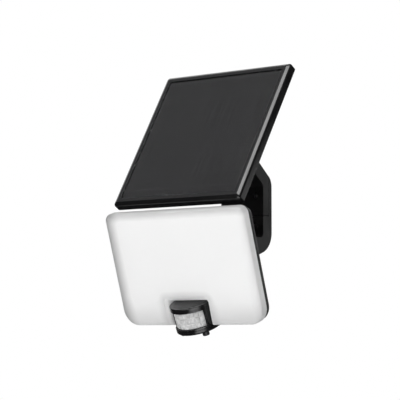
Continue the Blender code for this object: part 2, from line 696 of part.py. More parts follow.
def notch_rings(wall):
    """Notch for the sensor, whose front edge flares out in a rounded lip."""
    half = NOTCH_HALF_WIDTH + wall
    top = NOTCH_TOP + wall
    front = DIFFUSER_EDGE_START - DIFFUSER_EDGE_DEPTH + wall
    radius = NOTCH_LIP - wall
    rings = []
    flares = [(radius + NOTCH_FLARE, front - NOTCH_FLARE_DEPTH)]
    for step in range(LIP_STEPS + 1):
        angle = math.radians(90 * step / LIP_STEPS)
        flares.append((radius * (1 - math.sin(angle)), front + radius * (1 - math.cos(angle))))
    flares.append((0.0, NOTCH_BACK))
    for flare, depth in flares:
        corner = NOTCH_CORNER_RADIUS + flare
        outline = rounded_rectangle(half + flare, top + flare, NOTCH_FOOT, corner, NOTCH_FOOT_RADIUS)
        rings.append(along_y(outline, depth))
    return rings


def make_diffuser(face):
    """Opal shell, open at the back, with walls round the notch."""
    diffuser = loft("diffuser", diffuser_rings(0.0, DIFFUSER_SKIRT_DEPTH), face, "opal_plastic")
    cavity = loft("diffuser_cavity", diffuser_rings(DIFFUSER_WALL, DIFFUSER_SKIRT_DEPTH + PAST), face)
    cut(cavity, loft("notch_wall_shape", notch_rings(DIFFUSER_WALL), face))
    cut(diffuser, cavity)
    cut(diffuser, loft("notch_shape", notch_rings(0.0), face))


def housing_rings(wall, front_depth, back_depth):
    """Rings of the back shell: a straight band, a long taper and a flat back."""
    inset = HOUSING_INSET + wall
    back_radius = HOUSING_BACK_RADIUS - wall
    width = HOUSING_BACK_HALF_WIDTH - wall
    top = HOUSING_BACK_TOP - wall
    bottom = HOUSING_BACK_BOTTOM + wall
    edge = HOUSING_EDGE
    rings = [
        lamp_ring(inset, front_depth),
        lamp_ring(inset, HOUSING_STRAIGHT_END),
        lamp_ring(inset, HOUSING_BAND_END, HOUSING_BAND_DROP),
        lamp_ring(inset + HOUSING_TAPER_INSET, HOUSING_BAND_END + HOUSING_TAPER_INSET, HOUSING_BAND_DROP),
    ]
    rim = rounded_rectangle(width + edge, top + edge, bottom - edge, back_radius, back_radius)
    rings.append(along_y(rim, back_depth - 1.5 * edge))
    radius = back_radius - edge
    back = rounded_rectangle(width - edge, top - edge, bottom + edge, radius, radius)
    rings.append(along_y(back, back_depth))
    return rings


def make_housing(face):
    front = DIFFUSER_SKIRT_DEPTH + GAP
    housing = loft("lamp_housing", housing_rings(0.0, front, HOUSING_BACK_DEPTH), face, "black_plastic")
    back_of_cavity = HOUSING_BACK_DEPTH - HOUSING_WALL
    cut(housing, loft("housing_cavity", housing_rings(HOUSING_WALL, front - PAST, back_of_cavity), face))
    half = BASE_HALF_WIDTH + GAP
    notch = block("housing_notch", (-half, 0.0, -FAR), (half, BASE_BACK_DEPTH + GAP, BASE_TOP + GAP), face)
    cut(housing, notch)
    pivot = (LAMP_PIVOT_DEPTH, LAMP_PIVOT_HEIGHT)
    base_depth = HOUSING_BACK_DEPTH - HOUSING_WALL / 2
    add_lugs(housing, "lamp", LAMP_LUG_RADIUS, base_depth, LAMP_LUG_HALF_HEIGHT, pivot, face)

    button_place = (BUTTON_PLACE[0], 0.0, BUTTON_PLACE[1])
    inside = back_of_cavity - HOUSING_WALL
    cut(housing, rod("button_hole", BUTTON_HOLE_RADIUS, inside, FAR, face, None, button_place, along_y))
    head_depth = HOUSING_BACK_DEPTH - SCREW_HEAD_THICKNESS / 2
    for level, z in LAMP_SCREW_HEIGHTS.items():
        for side, x in (("left", -LAMP_SCREW_X), ("right", LAMP_SCREW_X)):
            name = f"lamp_screw_{level}_{side}"
            place = (x, 0.0, z)
            screw(name, face, place, head_depth, LAMP_SCREW_TIP)
            hole = rod(f"{name}_hole", SCREW_RADIUS + GAP, inside, FAR, face, None, place, along_y)
            seat_radius = SCREW_HEAD_RADIUS + GAP
            seat = rod(f"{name}_seat", seat_radius, head_depth - GAP, FAR, face, None, place, along_y)
            cut(housing, hole)
            cut(housing, seat)


def make_diffuser_seal(face):
    near = DIFFUSER_SKIRT_DEPTH + 2 * GAP
    far = near + SEAL_THICKNESS
    outer = HOUSING_INSET + HOUSING_WALL + GAP
    inner = outer + SEAL_WIDTH
    rings = [lamp_ring(outer, near), lamp_ring(outer, far), lamp_ring(inner, far), lamp_ring(inner, near)]
    seal = loft("diffuser_seal", rings, face, "rubber", closed=True)
    cut(seal, loft("seal_notch", notch_rings(SEAL_NOTCH_MARGIN), face))


def make_reflector_tray(face):
    """White tray with sloping sides, which holds the light board."""
    floor = BOARD_DEPTH + BOARD_THICKNESS + GAP
    shapes = (
        (TRAY_FLOOR_MARGINS, 0.0, floor),
        (TRAY_RIM_MARGINS, 0.0, TRAY_FRONT),
        (TRAY_RIM_MARGINS, TRAY_WALL, TRAY_FRONT),
        (TRAY_FLOOR_MARGINS, TRAY_WALL, floor + TRAY_WALL),
    )
    rings = []
    for (across, upward), wall, depth in shapes:
        width = BOARD_HALF_WIDTH + across + wall
        top = BOARD_TOP + upward + wall
        bottom = BOARD_BOTTOM - min(upward + wall, TRAY_RIM_MARGINS[1])
        outline = rounded_rectangle(width, top, bottom, TRAY_RADIUS, TRAY_RADIUS)
        rings.append(along_y(outline, depth))
    loft("reflector_tray", rings, face, "white_plastic")


def make_led_board(face):
    """Light board whose front is a grid, with a raised chip in every second cell of every second row."""
    mesh = bpy.data.meshes.new("led_board")
    build = bmesh.new()
    columns = 2 * LED_COLUMNS + 1
    rows = 2 * LED_ROWS + 1
    grid = []
    for row in range(rows + 1):
        z = BOARD_BOTTOM + (BOARD_TOP - BOARD_BOTTOM) * row / rows
        line = []
        for column in range(columns + 1):
            x = BOARD_HALF_WIDTH * (2 * column / columns - 1)
            line.append(build.verts.new((x, BOARD_DEPTH, z)))
        grid.append(line)
    for low, high in zip(grid, grid[1:]):
        for column in range(columns):
            build.faces.new((low[column], low[column + 1], high[column + 1], high[column]))
    back = bmesh.ops.extrude_face_region(build, geom=build.faces[:])
    moved = [item for item in back["geom"] if isinstance(item, bmesh.types.BMVert)]
    bmesh.ops.translate(build, verts=moved, vec=(0.0, BOARD_THICKNESS, 0.0))
    bmesh.ops.recalc_face_normals(build, faces=build.faces)
    chips = []
    for cell in build.faces:
        centre = cell.calc_center_median()
        column = int((centre.x / BOARD_HALF_WIDTH + 1) / 2 * columns)
        row = int((centre.z - BOARD_BOTTOM) / (BOARD_TOP - BOARD_BOTTOM) * rows)
        if cell.normal.y < -0.5 and row % 2 and column % 2:
            chips.append(cell)
    bmesh.ops.inset_individual(build, faces=chips, thickness=LED_MARGIN)
    raised = bmesh.ops.extrude_discrete_faces(build, faces=chips)
    bmesh.ops.translate(
        build, verts=list({vert for f in raised["faces"] for vert in f.verts}), vec=(0.0, -LED_HEIGHT, 0.0)
    )
    build.to_mesh(mesh)
    build.free()
    board = bpy.data.objects.new("led_board", mesh)
    board.parent = face
    mesh.materials.append(material_for("led_board", "light_board"))
    bpy.context.collection.objects.link(board)


def make_power(face):
    """Battery cells in their holder, and the control board beside them."""
    for level, height in CELL_HEIGHTS.items():
        place = (0.0, CELL_CENTRE_DEPTH, height)
        name = f"battery_cell_{level}"
        shoulder = CELL_CAP_HEIGHT - CELL_HALF_LENGTH
        rings = [
            along_x(circle(CELL_CAP_RADIUS), -CELL_HALF_LENGTH),
            along_x(circle(CELL_CAP_RADIUS), shoulder),
            along_x(circle(CELL_RADIUS), shoulder),
            along_x(circle(CELL_RADIUS), CELL_HALF_LENGTH),
        ]
        loft(name, rings, face, "battery_wrap", place=place)

    low_z = CELL_HEIGHTS["lower"] - CELL_RADIUS - HOLDER_MARGIN
    high_z = CELL_HEIGHTS["upper"] + CELL_RADIUS + HOLDER_MARGIN
    back = HOUSING_BACK_DEPTH - HOUSING_WALL - GAP
    floor = CELL_CENTRE_DEPTH + CELL_RADIUS + GAP
    end = CELL_HALF_LENGTH + HOLDER_END_WALL
    low = (-end, CELL_CENTRE_DEPTH, low_z)
    holder = block("battery_holder", low, (end, back, high_z), face, "black_plastic")
    inner = CELL_HALF_LENGTH + GAP
    cut(holder, block("holder_room", (-inner, 0.0, -FAR), (inner, floor, FAR), face))

    block("control_board", CONTROL_BOARD_LOW, CONTROL_BOARD_HIGH, face, "circuit_board")


def make_button(face):
    """Push button on the back, with the rubber ring that it slides in."""
    place = (BUTTON_PLACE[0], 0.0, BUTTON_PLACE[1])
    wall_inner = HOUSING_BACK_DEPTH - HOUSING_WALL
    flange_back = wall_inner - 2 * GAP
    top = HOUSING_BACK_DEPTH + BUTTON_PROUD
    rings = [
        along_y(circle(BUTTON_FLANGE_RADIUS), flange_back - BUTTON_FLANGE_THICKNESS),
        along_y(circle(BUTTON_FLANGE_RADIUS), flange_back),
        along_y(circle(BUTTON_RADIUS), flange_back),
        along_y(circle(BUTTON_RADIUS), top - BUTTON_CHAMFER),
        along_y(circle(BUTTON_RADIUS - BUTTON_CHAMFER), top),
    ]
    loft("mode_button", rings, face, "black_plastic", place=place)
    bore = BUTTON_RADIUS + GAP
    skirt = BUTTON_HOLE_RADIUS - GAP
    outside = HOUSING_BACK_DEPTH + GAP
    rings = [
        along_y(circle(bore), wall_inner),
        along_y(circle(skirt), wall_inner),
        along_y(circle(skirt), outside),
        along_y(circle(BOOT_RADIUS), outside),
        along_y(circle(BOOT_RADIUS - BOOT_THICKNESS / 2), outside + BOOT_THICKNESS),
        along_y(circle(bore), outside + BOOT_THICKNESS),
    ]
    loft("mode_button_seal", rings, face, "rubber", closed=True, place=place)


# ---------------------------------------------------------------- sensor

def drum_ring(radius, back, height):
    return along_z(half_round(radius, DRUM_CENTRE_DEPTH, back), height)


def make_sensor_base(face):
    """Pocket behind the notch, with a cheek at each side that holds a pivot pin."""
    front = DIFFUSER_SKIRT_DEPTH + GAP
    low = (-BASE_HALF_WIDTH, front, BASE_BOTTOM)
    high = (BASE_HALF_WIDTH, BASE_BACK_DEPTH, BASE_TOP)
    base = block("sensor_base", low, high, face, "black_plastic")
    half = BASE_INNER_HALF_WIDTH
    room_low = (-half, 0.0, -FAR)
    room_high = (half, BASE_BACK_DEPTH - BASE_WALL, BASE_TOP - BASE_WALL)
    cut(base, block("sensor_room", room_low, room_high, face))
    pin_place = (0.0, SENSOR_PIVOT_DEPTH, SENSOR_PIVOT_HEIGHT)
    cut(base, rod("base_pin_hole", PIN_RADIUS + GAP, -FAR, FAR, face, None, pin_place))


def make_sensor_shell(pivot):
    """Half-round cap with an overhanging top, side walls and a back, open at the bottom."""
    back = DRUM_BACK_DEPTH
    rings = [
        drum_ring(CAP_RADIUS, back, CAP_BOTTOM),
        drum_ring(CAP_RADIUS, back, CAP_TOP - CAP_ROUNDING),
        drum_ring(CAP_RADIUS - CAP_ROUNDING, back - CAP_ROUNDING, CAP_TOP),
    ]
    shell = loft("sensor_shell", rings, pivot, "black_plastic")
    wall_top = CAP_BOTTOM + DRUM_WALL / 2
    walls = [drum_ring(DRUM_RADIUS, back, LENS_BOTTOM), drum_ring(DRUM_RADIUS, back, wall_top)]
    join(shell, loft("sensor_walls", walls, pivot))
    inner_back = back - DRUM_WALL
    below = 2 * LENS_BOTTOM
    room = [
        drum_ring(DRUM_INNER_RADIUS, inner_back, below),
        drum_ring(DRUM_INNER_RADIUS, inner_back, CAP_TOP - DRUM_WALL),
    ]
    cut(shell, loft("sensor_hollow", room, pivot))
    centre = (0.0, DRUM_CENTRE_DEPTH)
    wedge = [centre] + arc(centre, 2 * DRUM_RADIUS, -90 - WINDOW_HALF_ANGLE, -90 + WINDOW_HALF_ANGLE, 8)
    cut(shell, loft("window_shape", [along_z(wedge, below), along_z(wedge, CAP_BOTTOM)], pivot))
    cut(shell, rod("shell_pin_hole", PIN_RADIUS + GAP, -FAR, FAR, pivot))


def make_lens(pivot):
    """Ribbed window, a curved sheet between the shell's side walls."""
    centre = (0.0, DRUM_CENTRE_DEPTH)
    half = WINDOW_HALF_ANGLE - 1
    outline = arc(centre, LENS_RADIUS, -90 - half, -90 + half, LENS_STEPS)
    outline += arc(centre, LENS_RADIUS - LENS_WALL, -90 + half, -90 - half, LENS_STEPS)
    rings = [along_z(outline, LENS_BOTTOM), along_z(outline, CAP_BOTTOM - GAP)]
    loft("fresnel_lens", rings, pivot, "window_plastic")


def make_sensor_ring(pivot):
    """Cup that closes the drum from below and carries the dials."""
    back = DRUM_BACK_DEPTH
    top = LENS_BOTTOM - GAP
    floor = RING_BOTTOM + DRUM_WALL
    round_centre = RING_BOTTOM + RING_ROUNDING
    rings = [
        drum_ring(DRUM_INNER_RADIUS, back - DRUM_WALL, floor),
        drum_ring(DRUM_INNER_RADIUS, back - DRUM_WALL, top),
        drum_ring(DRUM_RADIUS, back, top),
    ]
    for across, height in arc((DRUM_RADIUS - RING_ROUNDING, round_centre), RING_ROUNDING, 0, -90, 3):
        rings.append(drum_ring(across, back, height))
    ring = loft("sensor_ring", rings, pivot, "black_plastic")
    for side in (-1, 1):
        place = (side * DIAL_X, DIAL_DEPTH, 0.0)
        radius = DIAL_SHAFT_RADIUS + GAP
        cut(ring, rod(f"dial_hole_{side}", radius, -FAR, 0.0, pivot, None, place, along_z))


def make_dial(name, x, pivot):
    """Small knob on a shaft; its origin is on its own axis."""
    top = -GAP
    bottom = top - DIAL_HEIGHT
    place = (x, DIAL_DEPTH, RING_BOTTOM)
    rings = [
        along_z(circle(DIAL_SHAFT_RADIUS), 1.5 * DRUM_WALL),
        along_z(circle(DIAL_SHAFT_RADIUS), top),
        along_z(circle(DIAL_RADIUS), top),
        along_z(circle(DIAL_RADIUS), bottom + DIAL_CHAMFER),
        along_z(circle(DIAL_RADIUS - DIAL_CHAMFER), bottom),
    ]
    dial = loft(name, rings, pivot, "black_plastic", place=place)
    half_length = DIAL_RADIUS * DIAL_SLOT_SHARE
    base = RING_BOTTOM + bottom
    low = (x - DIAL_SLOT_HALF_WIDTH, DIAL_DEPTH - half_length, base - DIAL_SLOT_DEPTH)
    high = (x + DIAL_SLOT_HALF_WIDTH, DIAL_DEPTH + half_length, base + DIAL_SLOT_DEPTH)
    cut(dial, block(f"{name}_slot", low, high, pivot))


def make_sensor_inside(pivot):
    """Infrared element on its board."""
    block("sensor_board", SENSOR_BOARD_LOW, SENSOR_BOARD_HIGH, pivot, "circuit_board")
    base = SENSOR_BOARD_LOW[1] - GAP
    rings = [
        along_y(circle(PYRO_FLANGE_RADIUS), base),
        along_y(circle(PYRO_FLANGE_RADIUS), base - PYRO_FLANGE_HEIGHT),
        along_y(circle(PYRO_CAN_RADIUS), base - PYRO_FLANGE_HEIGHT),
        along_y(circle(PYRO_CAN_RADIUS), base - PYRO_HEIGHT),
    ]
    loft("pyro_sensor", rings, pivot, "steel")


def make_sensor(face):
    make_sensor_base(face)
    place = (0.0, SENSOR_PIVOT_DEPTH, SENSOR_PIVOT_HEIGHT)
    pivot = frame("sensor_pivot", place, SENSOR_LEAN, face)
    make_sensor_shell(pivot)
    make_lens(pivot)
    make_sensor_ring(pivot)
    make_sensor_inside(pivot)
    pin_inner = DRUM_INNER_RADIUS - 2 * GAP
    pin_outer = BASE_HALF_WIDTH - GAP
    rod("sensor_pin_left", PIN_RADIUS, -pin_outer, -pin_inner, pivot, "steel")
    rod("sensor_pin_right", PIN_RADIUS, pin_inner, pin_outer, pivot, "steel")
    make_dial("time_dial", DIAL_X, pivot)
    make_dial("light_dial", -DIAL_X, pivot)


def make_lamp():
    pivot_frame = frame("lamp_pivot", LAMP_PIVOT, LAMP_LEAN)
    face = frame("lamp_face", (0.0, -LAMP_PIVOT_DEPTH, -LAMP_PIVOT_HEIGHT), 0.0, pivot_frame)
    make_diffuser(face)
    make_housing(face)
    make_diffuser_seal(face)
    make_reflector_tray(face)
    make_led_board(face)
    make_power(face)
    make_button(face)
    make_gland("lamp_cable_gland", face, (GLAND_PLACE[0], 0.0, GLAND_PLACE[1]), HOUSING_BACK_DEPTH)
    make_sensor(face)
    hinge_hardware("lamp", pivot_frame, LAMP_WASHER_RADIUS)


clear_scene()
make_bracket()
make_panel()
make_lamp()
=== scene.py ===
"""Looks of the solar floodlight: fine meshes, procedural materials, soft studio light and the camera.

Each moving group is drawn in its own frame, as the CAD does: X to the right, Y the depth behind the group's
front rim, Z up along its face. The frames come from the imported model's joints.
"""
import json
import math

import bmesh
import bpy
from mathutils import Matrix, Vector


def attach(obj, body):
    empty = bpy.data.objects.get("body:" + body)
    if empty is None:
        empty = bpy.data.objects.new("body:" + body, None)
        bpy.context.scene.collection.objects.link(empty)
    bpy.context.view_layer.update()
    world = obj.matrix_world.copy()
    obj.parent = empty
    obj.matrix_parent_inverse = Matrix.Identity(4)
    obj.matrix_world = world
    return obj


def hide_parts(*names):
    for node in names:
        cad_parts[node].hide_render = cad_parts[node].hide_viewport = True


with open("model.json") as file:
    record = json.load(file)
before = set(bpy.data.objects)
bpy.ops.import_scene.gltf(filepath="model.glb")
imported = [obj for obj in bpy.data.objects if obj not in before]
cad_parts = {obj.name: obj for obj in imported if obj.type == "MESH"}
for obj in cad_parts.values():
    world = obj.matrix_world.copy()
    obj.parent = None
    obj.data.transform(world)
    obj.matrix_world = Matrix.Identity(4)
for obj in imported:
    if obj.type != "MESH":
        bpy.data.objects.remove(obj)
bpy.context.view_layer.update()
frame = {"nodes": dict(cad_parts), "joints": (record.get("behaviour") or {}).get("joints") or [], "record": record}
joints = {joint["name"]: joint for joint in frame["joints"]}

ROUND_STEPS = 48  # sides of small turned pieces; a multiple of six, for the hexagons
CORNER_STEPS = 12  # segments of a rounded corner
DRUM_STEPS = 48  # segments of the sensor's half-round pieces
EDGE_STEPS = 14  # segments of the diffuser's rounded edge
LIP_STEPS = 12  # segments of the lip round the notch
GAP = 0.0003  # between pieces that touch
FAR = 0.2  # further than any piece reaches
PAST = 0.001  # how far a shallow cutter stands out of the face that it opens
BORE_REACH = 0.05  # half length of the cutters for bores

PANEL_LEAN = math.radians(-31.22)
LAMP_LEAN = math.radians(17.46)
SENSOR_LEAN = math.radians(6.3)
PANEL_PIVOT = Vector(joints["panel_tilt"]["pos_m"])
LAMP_PIVOT = Vector(joints["lamp_tilt"]["pos_m"])
PANEL_OFFSET = Vector((0.0, -0.0219, -0.0098))  # from the pivot to the middle of the panel's rim plane
LAMP_OFFSET = Vector((0.0, -0.0531, -0.01055))  # from the pivot to the middle of the lamp's rim plane
SENSOR_OFFSET = Vector((0.0, 0.012, -0.0549))  # from there to the sensor's pivot

PANEL_PIVOT_FRAME = Matrix.Translation(PANEL_PIVOT) @ Matrix.Rotation(PANEL_LEAN, 4, "X")
PANEL = PANEL_PIVOT_FRAME @ Matrix.Translation(PANEL_OFFSET)
LAMP_PIVOT_FRAME = Matrix.Translation(LAMP_PIVOT) @ Matrix.Rotation(LAMP_LEAN, 4, "X")
LAMP = LAMP_PIVOT_FRAME @ Matrix.Translation(LAMP_OFFSET)
SENSOR = LAMP @ Matrix.Translation(SENSOR_OFFSET) @ Matrix.Rotation(SENSOR_LEAN, 4, "X")
WORLD = Matrix.Identity(4)

# Bracket
BRACKET_HALF_WIDTH = 0.031
STRAP_DEPTH = 0.016
PLATE_THICKNESS = 0.005
UPPER_BEND = (0.0, 0.0428)
UPPER_BEND_RADIUS = 0.0166
LOWER_BEND = (0.0, -0.0363)
LOWER_BEND_RADIUS = 0.025
LOWER_SLOPE_END = (-0.0307, -0.0477)
LOWER_INNER_HEIGHT = -0.025
INNER_BEND_RADIUS = 0.005
SEAM_HALF_GAP = 0.0002
BRACKET_SCREW_X = 0.0195
BRACKET_SCREW_HEIGHTS = {"upper": 0.0234, "lower": -0.012}
PANEL_KNUCKLE_RADIUS = 0.008
LAMP_KNUCKLE_RADIUS = 0.011
KNUCKLE_HALF_WIDTH = 0.020
SLOT_REACH = 0.0135
SLOT_HALF_HEIGHT = 0.03
WALL_SCREW_RADIUS = 0.0026

# Screws and hinges
SCREW_RADIUS = 0.0015
SCREW_HEAD_RADIUS = 0.0031
SCREW_HEAD_THICKNESS = 0.0014
SCREW_DOME = ((1.0, 0.0), (1.0, 0.25), (0.96, 0.5), (0.84, 0.78), (0.6, 0.95), (0.3, 1.0))  # shares of both
BOLT_RADIUS = 0.0024
BOLT_HEAD_APOTHEM = 0.004
BOLT_HEAD_THICKNESS = 0.0035
BOLT_CHAMFER = 0.0006
BOLT_END = 0.001  # how far a bolt stands out of its nut
WASHER_THICKNESS = 0.001
WASHER_EDGE = 0.0002
LUG_THICKNESS = 0.007
GLAND_BORE = 0.002

# Panel
PANEL_HALF_WIDTH = 0.0915
PANEL_HALF_HEIGHT = 0.092
PANEL_SIDE_DEPTH = 0.009
PANEL_BEVEL_WIDTH = 0.0043
PANEL_BEVEL_DEPTH = 0.0022
PANEL_LIP_WIDTH = 0.0042
PANEL_SKIRT = 0.0022
PANEL_INNER_RADIUS = 0.0015
PANEL_FLANGE_INSET = 0.0105
PANEL_FLANGE_THICKNESS = 0.0017
PANEL_COVER_THICKNESS = 0.0018
PANEL_DISH_INSET = 0.018  # start of the sunken middle of the panel's back
PANEL_DISH_SLOPE = 0.001
PANEL_DISH_DEPTH = 0.0006
PANEL_DISH_RADIUS = 0.004
PANEL_GROOVE_DEPTH = 0.0004
PANEL_FOOT_DEPTH = 0.0009  # how far the lugs and screw heads are sunk in the back
PANEL_SCREW_OFFSET = 0.0076  # in from the panel's sides
SHEET_RECESS = 0.001
SHEET_RADIUS = 0.001
SHEET_THICKNESS = 0.001
CELL_THICKNESS = 0.0009

# Lamp
LAMP_HALF_WIDTH = 0.100
LAMP_HALF_HEIGHT = 0.066
LAMP_TOP_RADIUS = 0.009
LAMP_BOTTOM_RADIUS = 0.019
LAMP_LEAST_TOP_RADIUS = 0.004
LAMP_LEAST_BOTTOM_RADIUS = 0.006
DIFFUSER_SKIRT_DEPTH = 0.0083
DIFFUSER_EDGE_WIDTH = 0.012
DIFFUSER_EDGE_START = 0.001
DIFFUSER_EDGE_DEPTH = 0.0056
DIFFUSER_EASING = 0.00002  # keeps the finer front inside the CAD's
DIFFUSER_CROWN = 0.0012
DIFFUSER_MIDDLE = 0.006  # half height of the crown's middle
DIFFUSER_WALL = 0.002
HOUSING_INSET = 0.001
HOUSING_WALL = 0.0022
HOUSING_STRAIGHT_END = 0.0112
HOUSING_BAND_END = 0.0137
HOUSING_BAND_DROP = 0.0025
HOUSING_BACK_DEPTH = 0.038
HOUSING_BACK_HALF_WIDTH = 0.078
HOUSING_BACK_TOP = 0.0325
HOUSING_BACK_BOTTOM = -0.048
HOUSING_BACK_RADIUS = 0.012
HOUSING_EDGE = 0.0012  # half width of the rounded rear edge
HOUSING_EDGE_SHAPE = ((1.0, 1.5), (0.55, 0.9), (0.0, 0.45), (-0.5, 0.12), (-1.0, 0.0))  # growth, drop
HOUSING_GROOVE_DEPTH = 0.0006
NOTCH_HALF_WIDTH = 0.0283
NOTCH_TOP = -0.0370
NOTCH_LIP = 0.005
NOTCH_CORNER_RADIUS = 0.0025
NOTCH_FLARE = 0.002  # further flare in front of the lip
NOTCH_FLARE_DEPTH = 0.004
NOTCH_FOOT = -0.1  # below the lamp, where the notch is open
BUTTON_PLACE = (0.050, 0.0, -0.028)
BUTTON_HOLE_RADIUS = 0.0063
BUTTON_FLANGE_RADIUS = 0.0068
BUTTON_FLANGE_THICKNESS = 0.0009
BUTTON_RADIUS = 0.0052
BUTTON_HEIGHT = 0.0028
GLAND_PLACE = (-0.050, 0.0, -0.028)
LAMP_LUG_DEPTH = 0.0011  # how far the lugs are sunk in the back
LAMP_SCREW_X = 0.069
LAMP_SCREW_HEIGHTS = {"upper": 0.025, "lower": -0.039}
LAMP_HOLE_START = 0.03

# Sensor
DRUM_CENTRE = -0.0048
DRUM_BACK = 0.004
DRUM_RADIUS = 0.0263
DRUM_INNER_RADIUS = 0.0228
DRUM_WALL = 0.002
CAP_RADIUS = 0.027
CAP_BOTTOM = 0.0105
CAP_TOP = 0.0169
CAP_ROUNDING = 0.0008
SHELL_ROOF = 0.0024
LENS_RADIUS = 0.0245
LENS_WALL = 0.0012
LENS_BOTTOM = -0.0088
LENS_ROW_EDGES = (LENS_BOTTOM, -0.0028, 0.0038, CAP_BOTTOM - GAP)
LENS_BULGE = 0.0007
LENS_FULLNESS = 0.4  # power that widens each bulge
RING_BOTTOM = -0.0158
RING_ROUNDING = 0.0022
WINDOW_HALF_ANGLE = 63
DIAL_X = 0.0156
DIAL_DEPTH = -0.015
DIAL_RADIUS = 0.00405
DIAL_HEIGHT = 0.0046
DIAL_CHAMFER = 0.0003
DIAL_EDGE = 0.0004
DIAL_SLOT_DEPTH = 0.0012
DIAL_SHAFT_RADIUS = 0.0016
PIN_RADIUS = 0.0016
BASE_WALL = 0.002
BASE_HALF_WIDTH = 0.0303
BASE_INNER_HALF_WIDTH = 0.0276
BASE_TOP = -0.035
BASE_BOTTOM = -0.065
BASE_BACK = 0.0264
BASE_FOOT = (0.007, 0.003)  # slope at the base's lower back edge

# Studio
HORIZON_LIGHT = 0.04
OVERHEAD_LIGHT = 0.24
OVERHEAD_RISE = (0.15, 0.80)  # heights between which the surroundings brighten
LOW_CARD_LIGHT = 3.0
LOW_CARD_DIRECTION = (0.602, -0.540, -0.586)
LOW_CARD_ANGLES = (30, 12)
FLOOR_GLOW = 0.35
FLOOR_RADIUS = 2.3
FLOOR_HEIGHT = -0.32

# Finishes
CELL_AREA_HALF_WIDTH = 0.0807
CELL_AREA_TOP = 0.0807
CELL_AREA_BOTTOM = -0.0723
FINGER_PITCH = 0.0023
FINGER_WIDTH = 0.00022
FINGER_STRENGTH = 0.35
CELL_PITCH = 0.0262
CELL_LINE_WIDTH = 0.0003
OPAL_LEFT = (0.44, 0.025)  # painted shade at each edge of the diffuser, and how far in it reaches
OPAL_RIGHT = (0.92, 0.010)
OPAL_TOP = (0.60, 0.012)
OPAL_BOTTOM = (0.75, 0.038)
# painted shade round the sensor's notch: its darkest share, and the distances over which it fades
OPAL_NOTCH_SHADE = (0.76, 0.001, 0.017)
# painted glow over the whole diffuser, weakened where the painted shade falls
OPAL_PAINTED_GLOW = 0.15
# painted light on the notch's walls, and how far out from them it reaches
NOTCH_PAINTED_LIGHT = 0.12
NOTCH_PAINTED_LIGHT_REACH = 0.006
WHITE = (1.0, 1.0, 1.0)


# ------------ outlines

def arc(centre, radius, start, end, steps):
    """Points along an arc, in degrees from the first axis towards the second."""
    points = []
    for step in range(steps + 1):
        angle = math.radians(start + (end - start) * step / steps)
        points.append((centre[0] + radius * math.cos(angle), centre[1] + radius * math.sin(angle)))
    return points


def fillet(before, corner, after, radius, steps=10):
    """Arc that rounds a corner of an outline."""
    into = (before[0] - corner[0], before[1] - corner[1])
    out = (after[0] - corner[0], after[1] - corner[1])
    into_angle = math.atan2(into[1], into[0])
    out_angle = math.atan2(out[1], out[0])
    spread = (out_angle - into_angle + math.pi) % (2 * math.pi) - math.pi
    middle = into_angle + spread / 2
    reach = radius / math.sin(abs(spread) / 2)
    centre = (corner[0] + reach * math.cos(middle), corner[1] + reach * math.sin(middle))
    sweep = math.pi - abs(spread)
    first = math.degrees(middle + math.pi + math.copysign(sweep / 2, spread))
    last = first - math.copysign(math.degrees(sweep), spread)
    return arc(centre, radius, first, last, steps)


def rounded_rectangle(half_width, top, bottom, top_radius, bottom_radius):
    """Outline in X and Z, anticlockwise from the lower right corner."""
    corners = (
        ((half_width - bottom_radius, bottom + bottom_radius), bottom_radius, -90),
        ((half_width - top_radius, top - top_radius), top_radius, 0),
        ((top_radius - half_width, top - top_radius), top_radius, 90),
        ((bottom_radius - half_width, bottom + bottom_radius), bottom_radius, 180),
    )
    points = []
    for centre, radius, start in corners:
        points += arc(centre, radius, start, start + 90, CORNER_STEPS)
    return points


def half_round(radius, back):
    """Plan outline in X and Y: a half circle to the front with straight sides running back."""
    return [(radius, back)] + arc((0.0, DRUM_CENTRE), radius, 0, -180, DRUM_STEPS) + [(-radius, back)]


def circle(radius):
    return arc((0.0, 0.0), radius, 0, 360 * (ROUND_STEPS - 1) / ROUND_STEPS, ROUND_STEPS - 1)


def hexagon(apothem):
    """Hexagon with as many points as a circle, so that the two can be joined."""
    points = []
    for x, y in circle(1.0):
        angle = math.degrees(math.atan2(y, x)) % 60 - 30
        reach = apothem / math.cos(math.radians(angle))
        points.append((x * reach, y * reach))
    return points


def wavy_circle(radius, depth, count):
    """Circle with evenly spaced grip flutes."""
    points = []
    for x, y in circle(1.0):
        wave = radius - depth * (0.5 + 0.5 * math.cos(count * math.atan2(y, x)))
        points.append((x * wave, y * wave))
    return points


def along_x(outline, x):
    return [(x, first, second) for first, second in outline]


def along_y(outline, y):
    return [(first, y, second) for first, second in outline]


def along_z(outline, z):
    return [(first, second, z) for first, second in outline]


# ------------ meshes

def loft(name, rings, place=WORLD, closed=False):
    """Solid through a row of rings with equal numbers of points, capped, or closed into a hollow ring."""
    mesh = bpy.data.meshes.new(name)
    build = bmesh.new()
    rows = [[build.verts.new(point) for point in ring] for ring in rings]
    count = len(rows[0])
    pairs = list(zip(rows, rows[1:]))
    if closed:
        pairs.append((rows[-1], rows[0]))
    else:
        build.faces.new(rows[0])
        build.faces.new(rows[-1])
    for low, high in pairs:
        for index in range(count):
            after = (index + 1) % count
            build.faces.new((low[index], low[after], high[after], high[index]))
    bmesh.ops.recalc_face_normals(build, faces=build.faces)
    build.to_mesh(mesh)
    build.free()
    piece = bpy.data.objects.new(name, mesh)
    piece.matrix_world = place
    bpy.context.scene.collection.objects.link(piece)
    return piece


def block(name, low, high, place=WORLD):
    corners = [(low[0], low[2]), (high[0], low[2]), (high[0], high[2]), (low[0], high[2])]
    return loft(name, [along_y(corners, low[1]), along_y(corners, high[1])], place)


def turned(name, profile, place=WORLD, centre=(0.0, 0.0, 0.0), along=along_y, closed=False):
    """Round piece from rows of (radius, height) or (outline, height)."""
    rings = []
    for shape, height in profile:
        outline = circle(shape) if isinstance(shape, float) else shape
        rings.append([tuple(Vector(point) + Vector(centre)) for point in along(outline, height)])
    return loft(name, rings, place, closed)


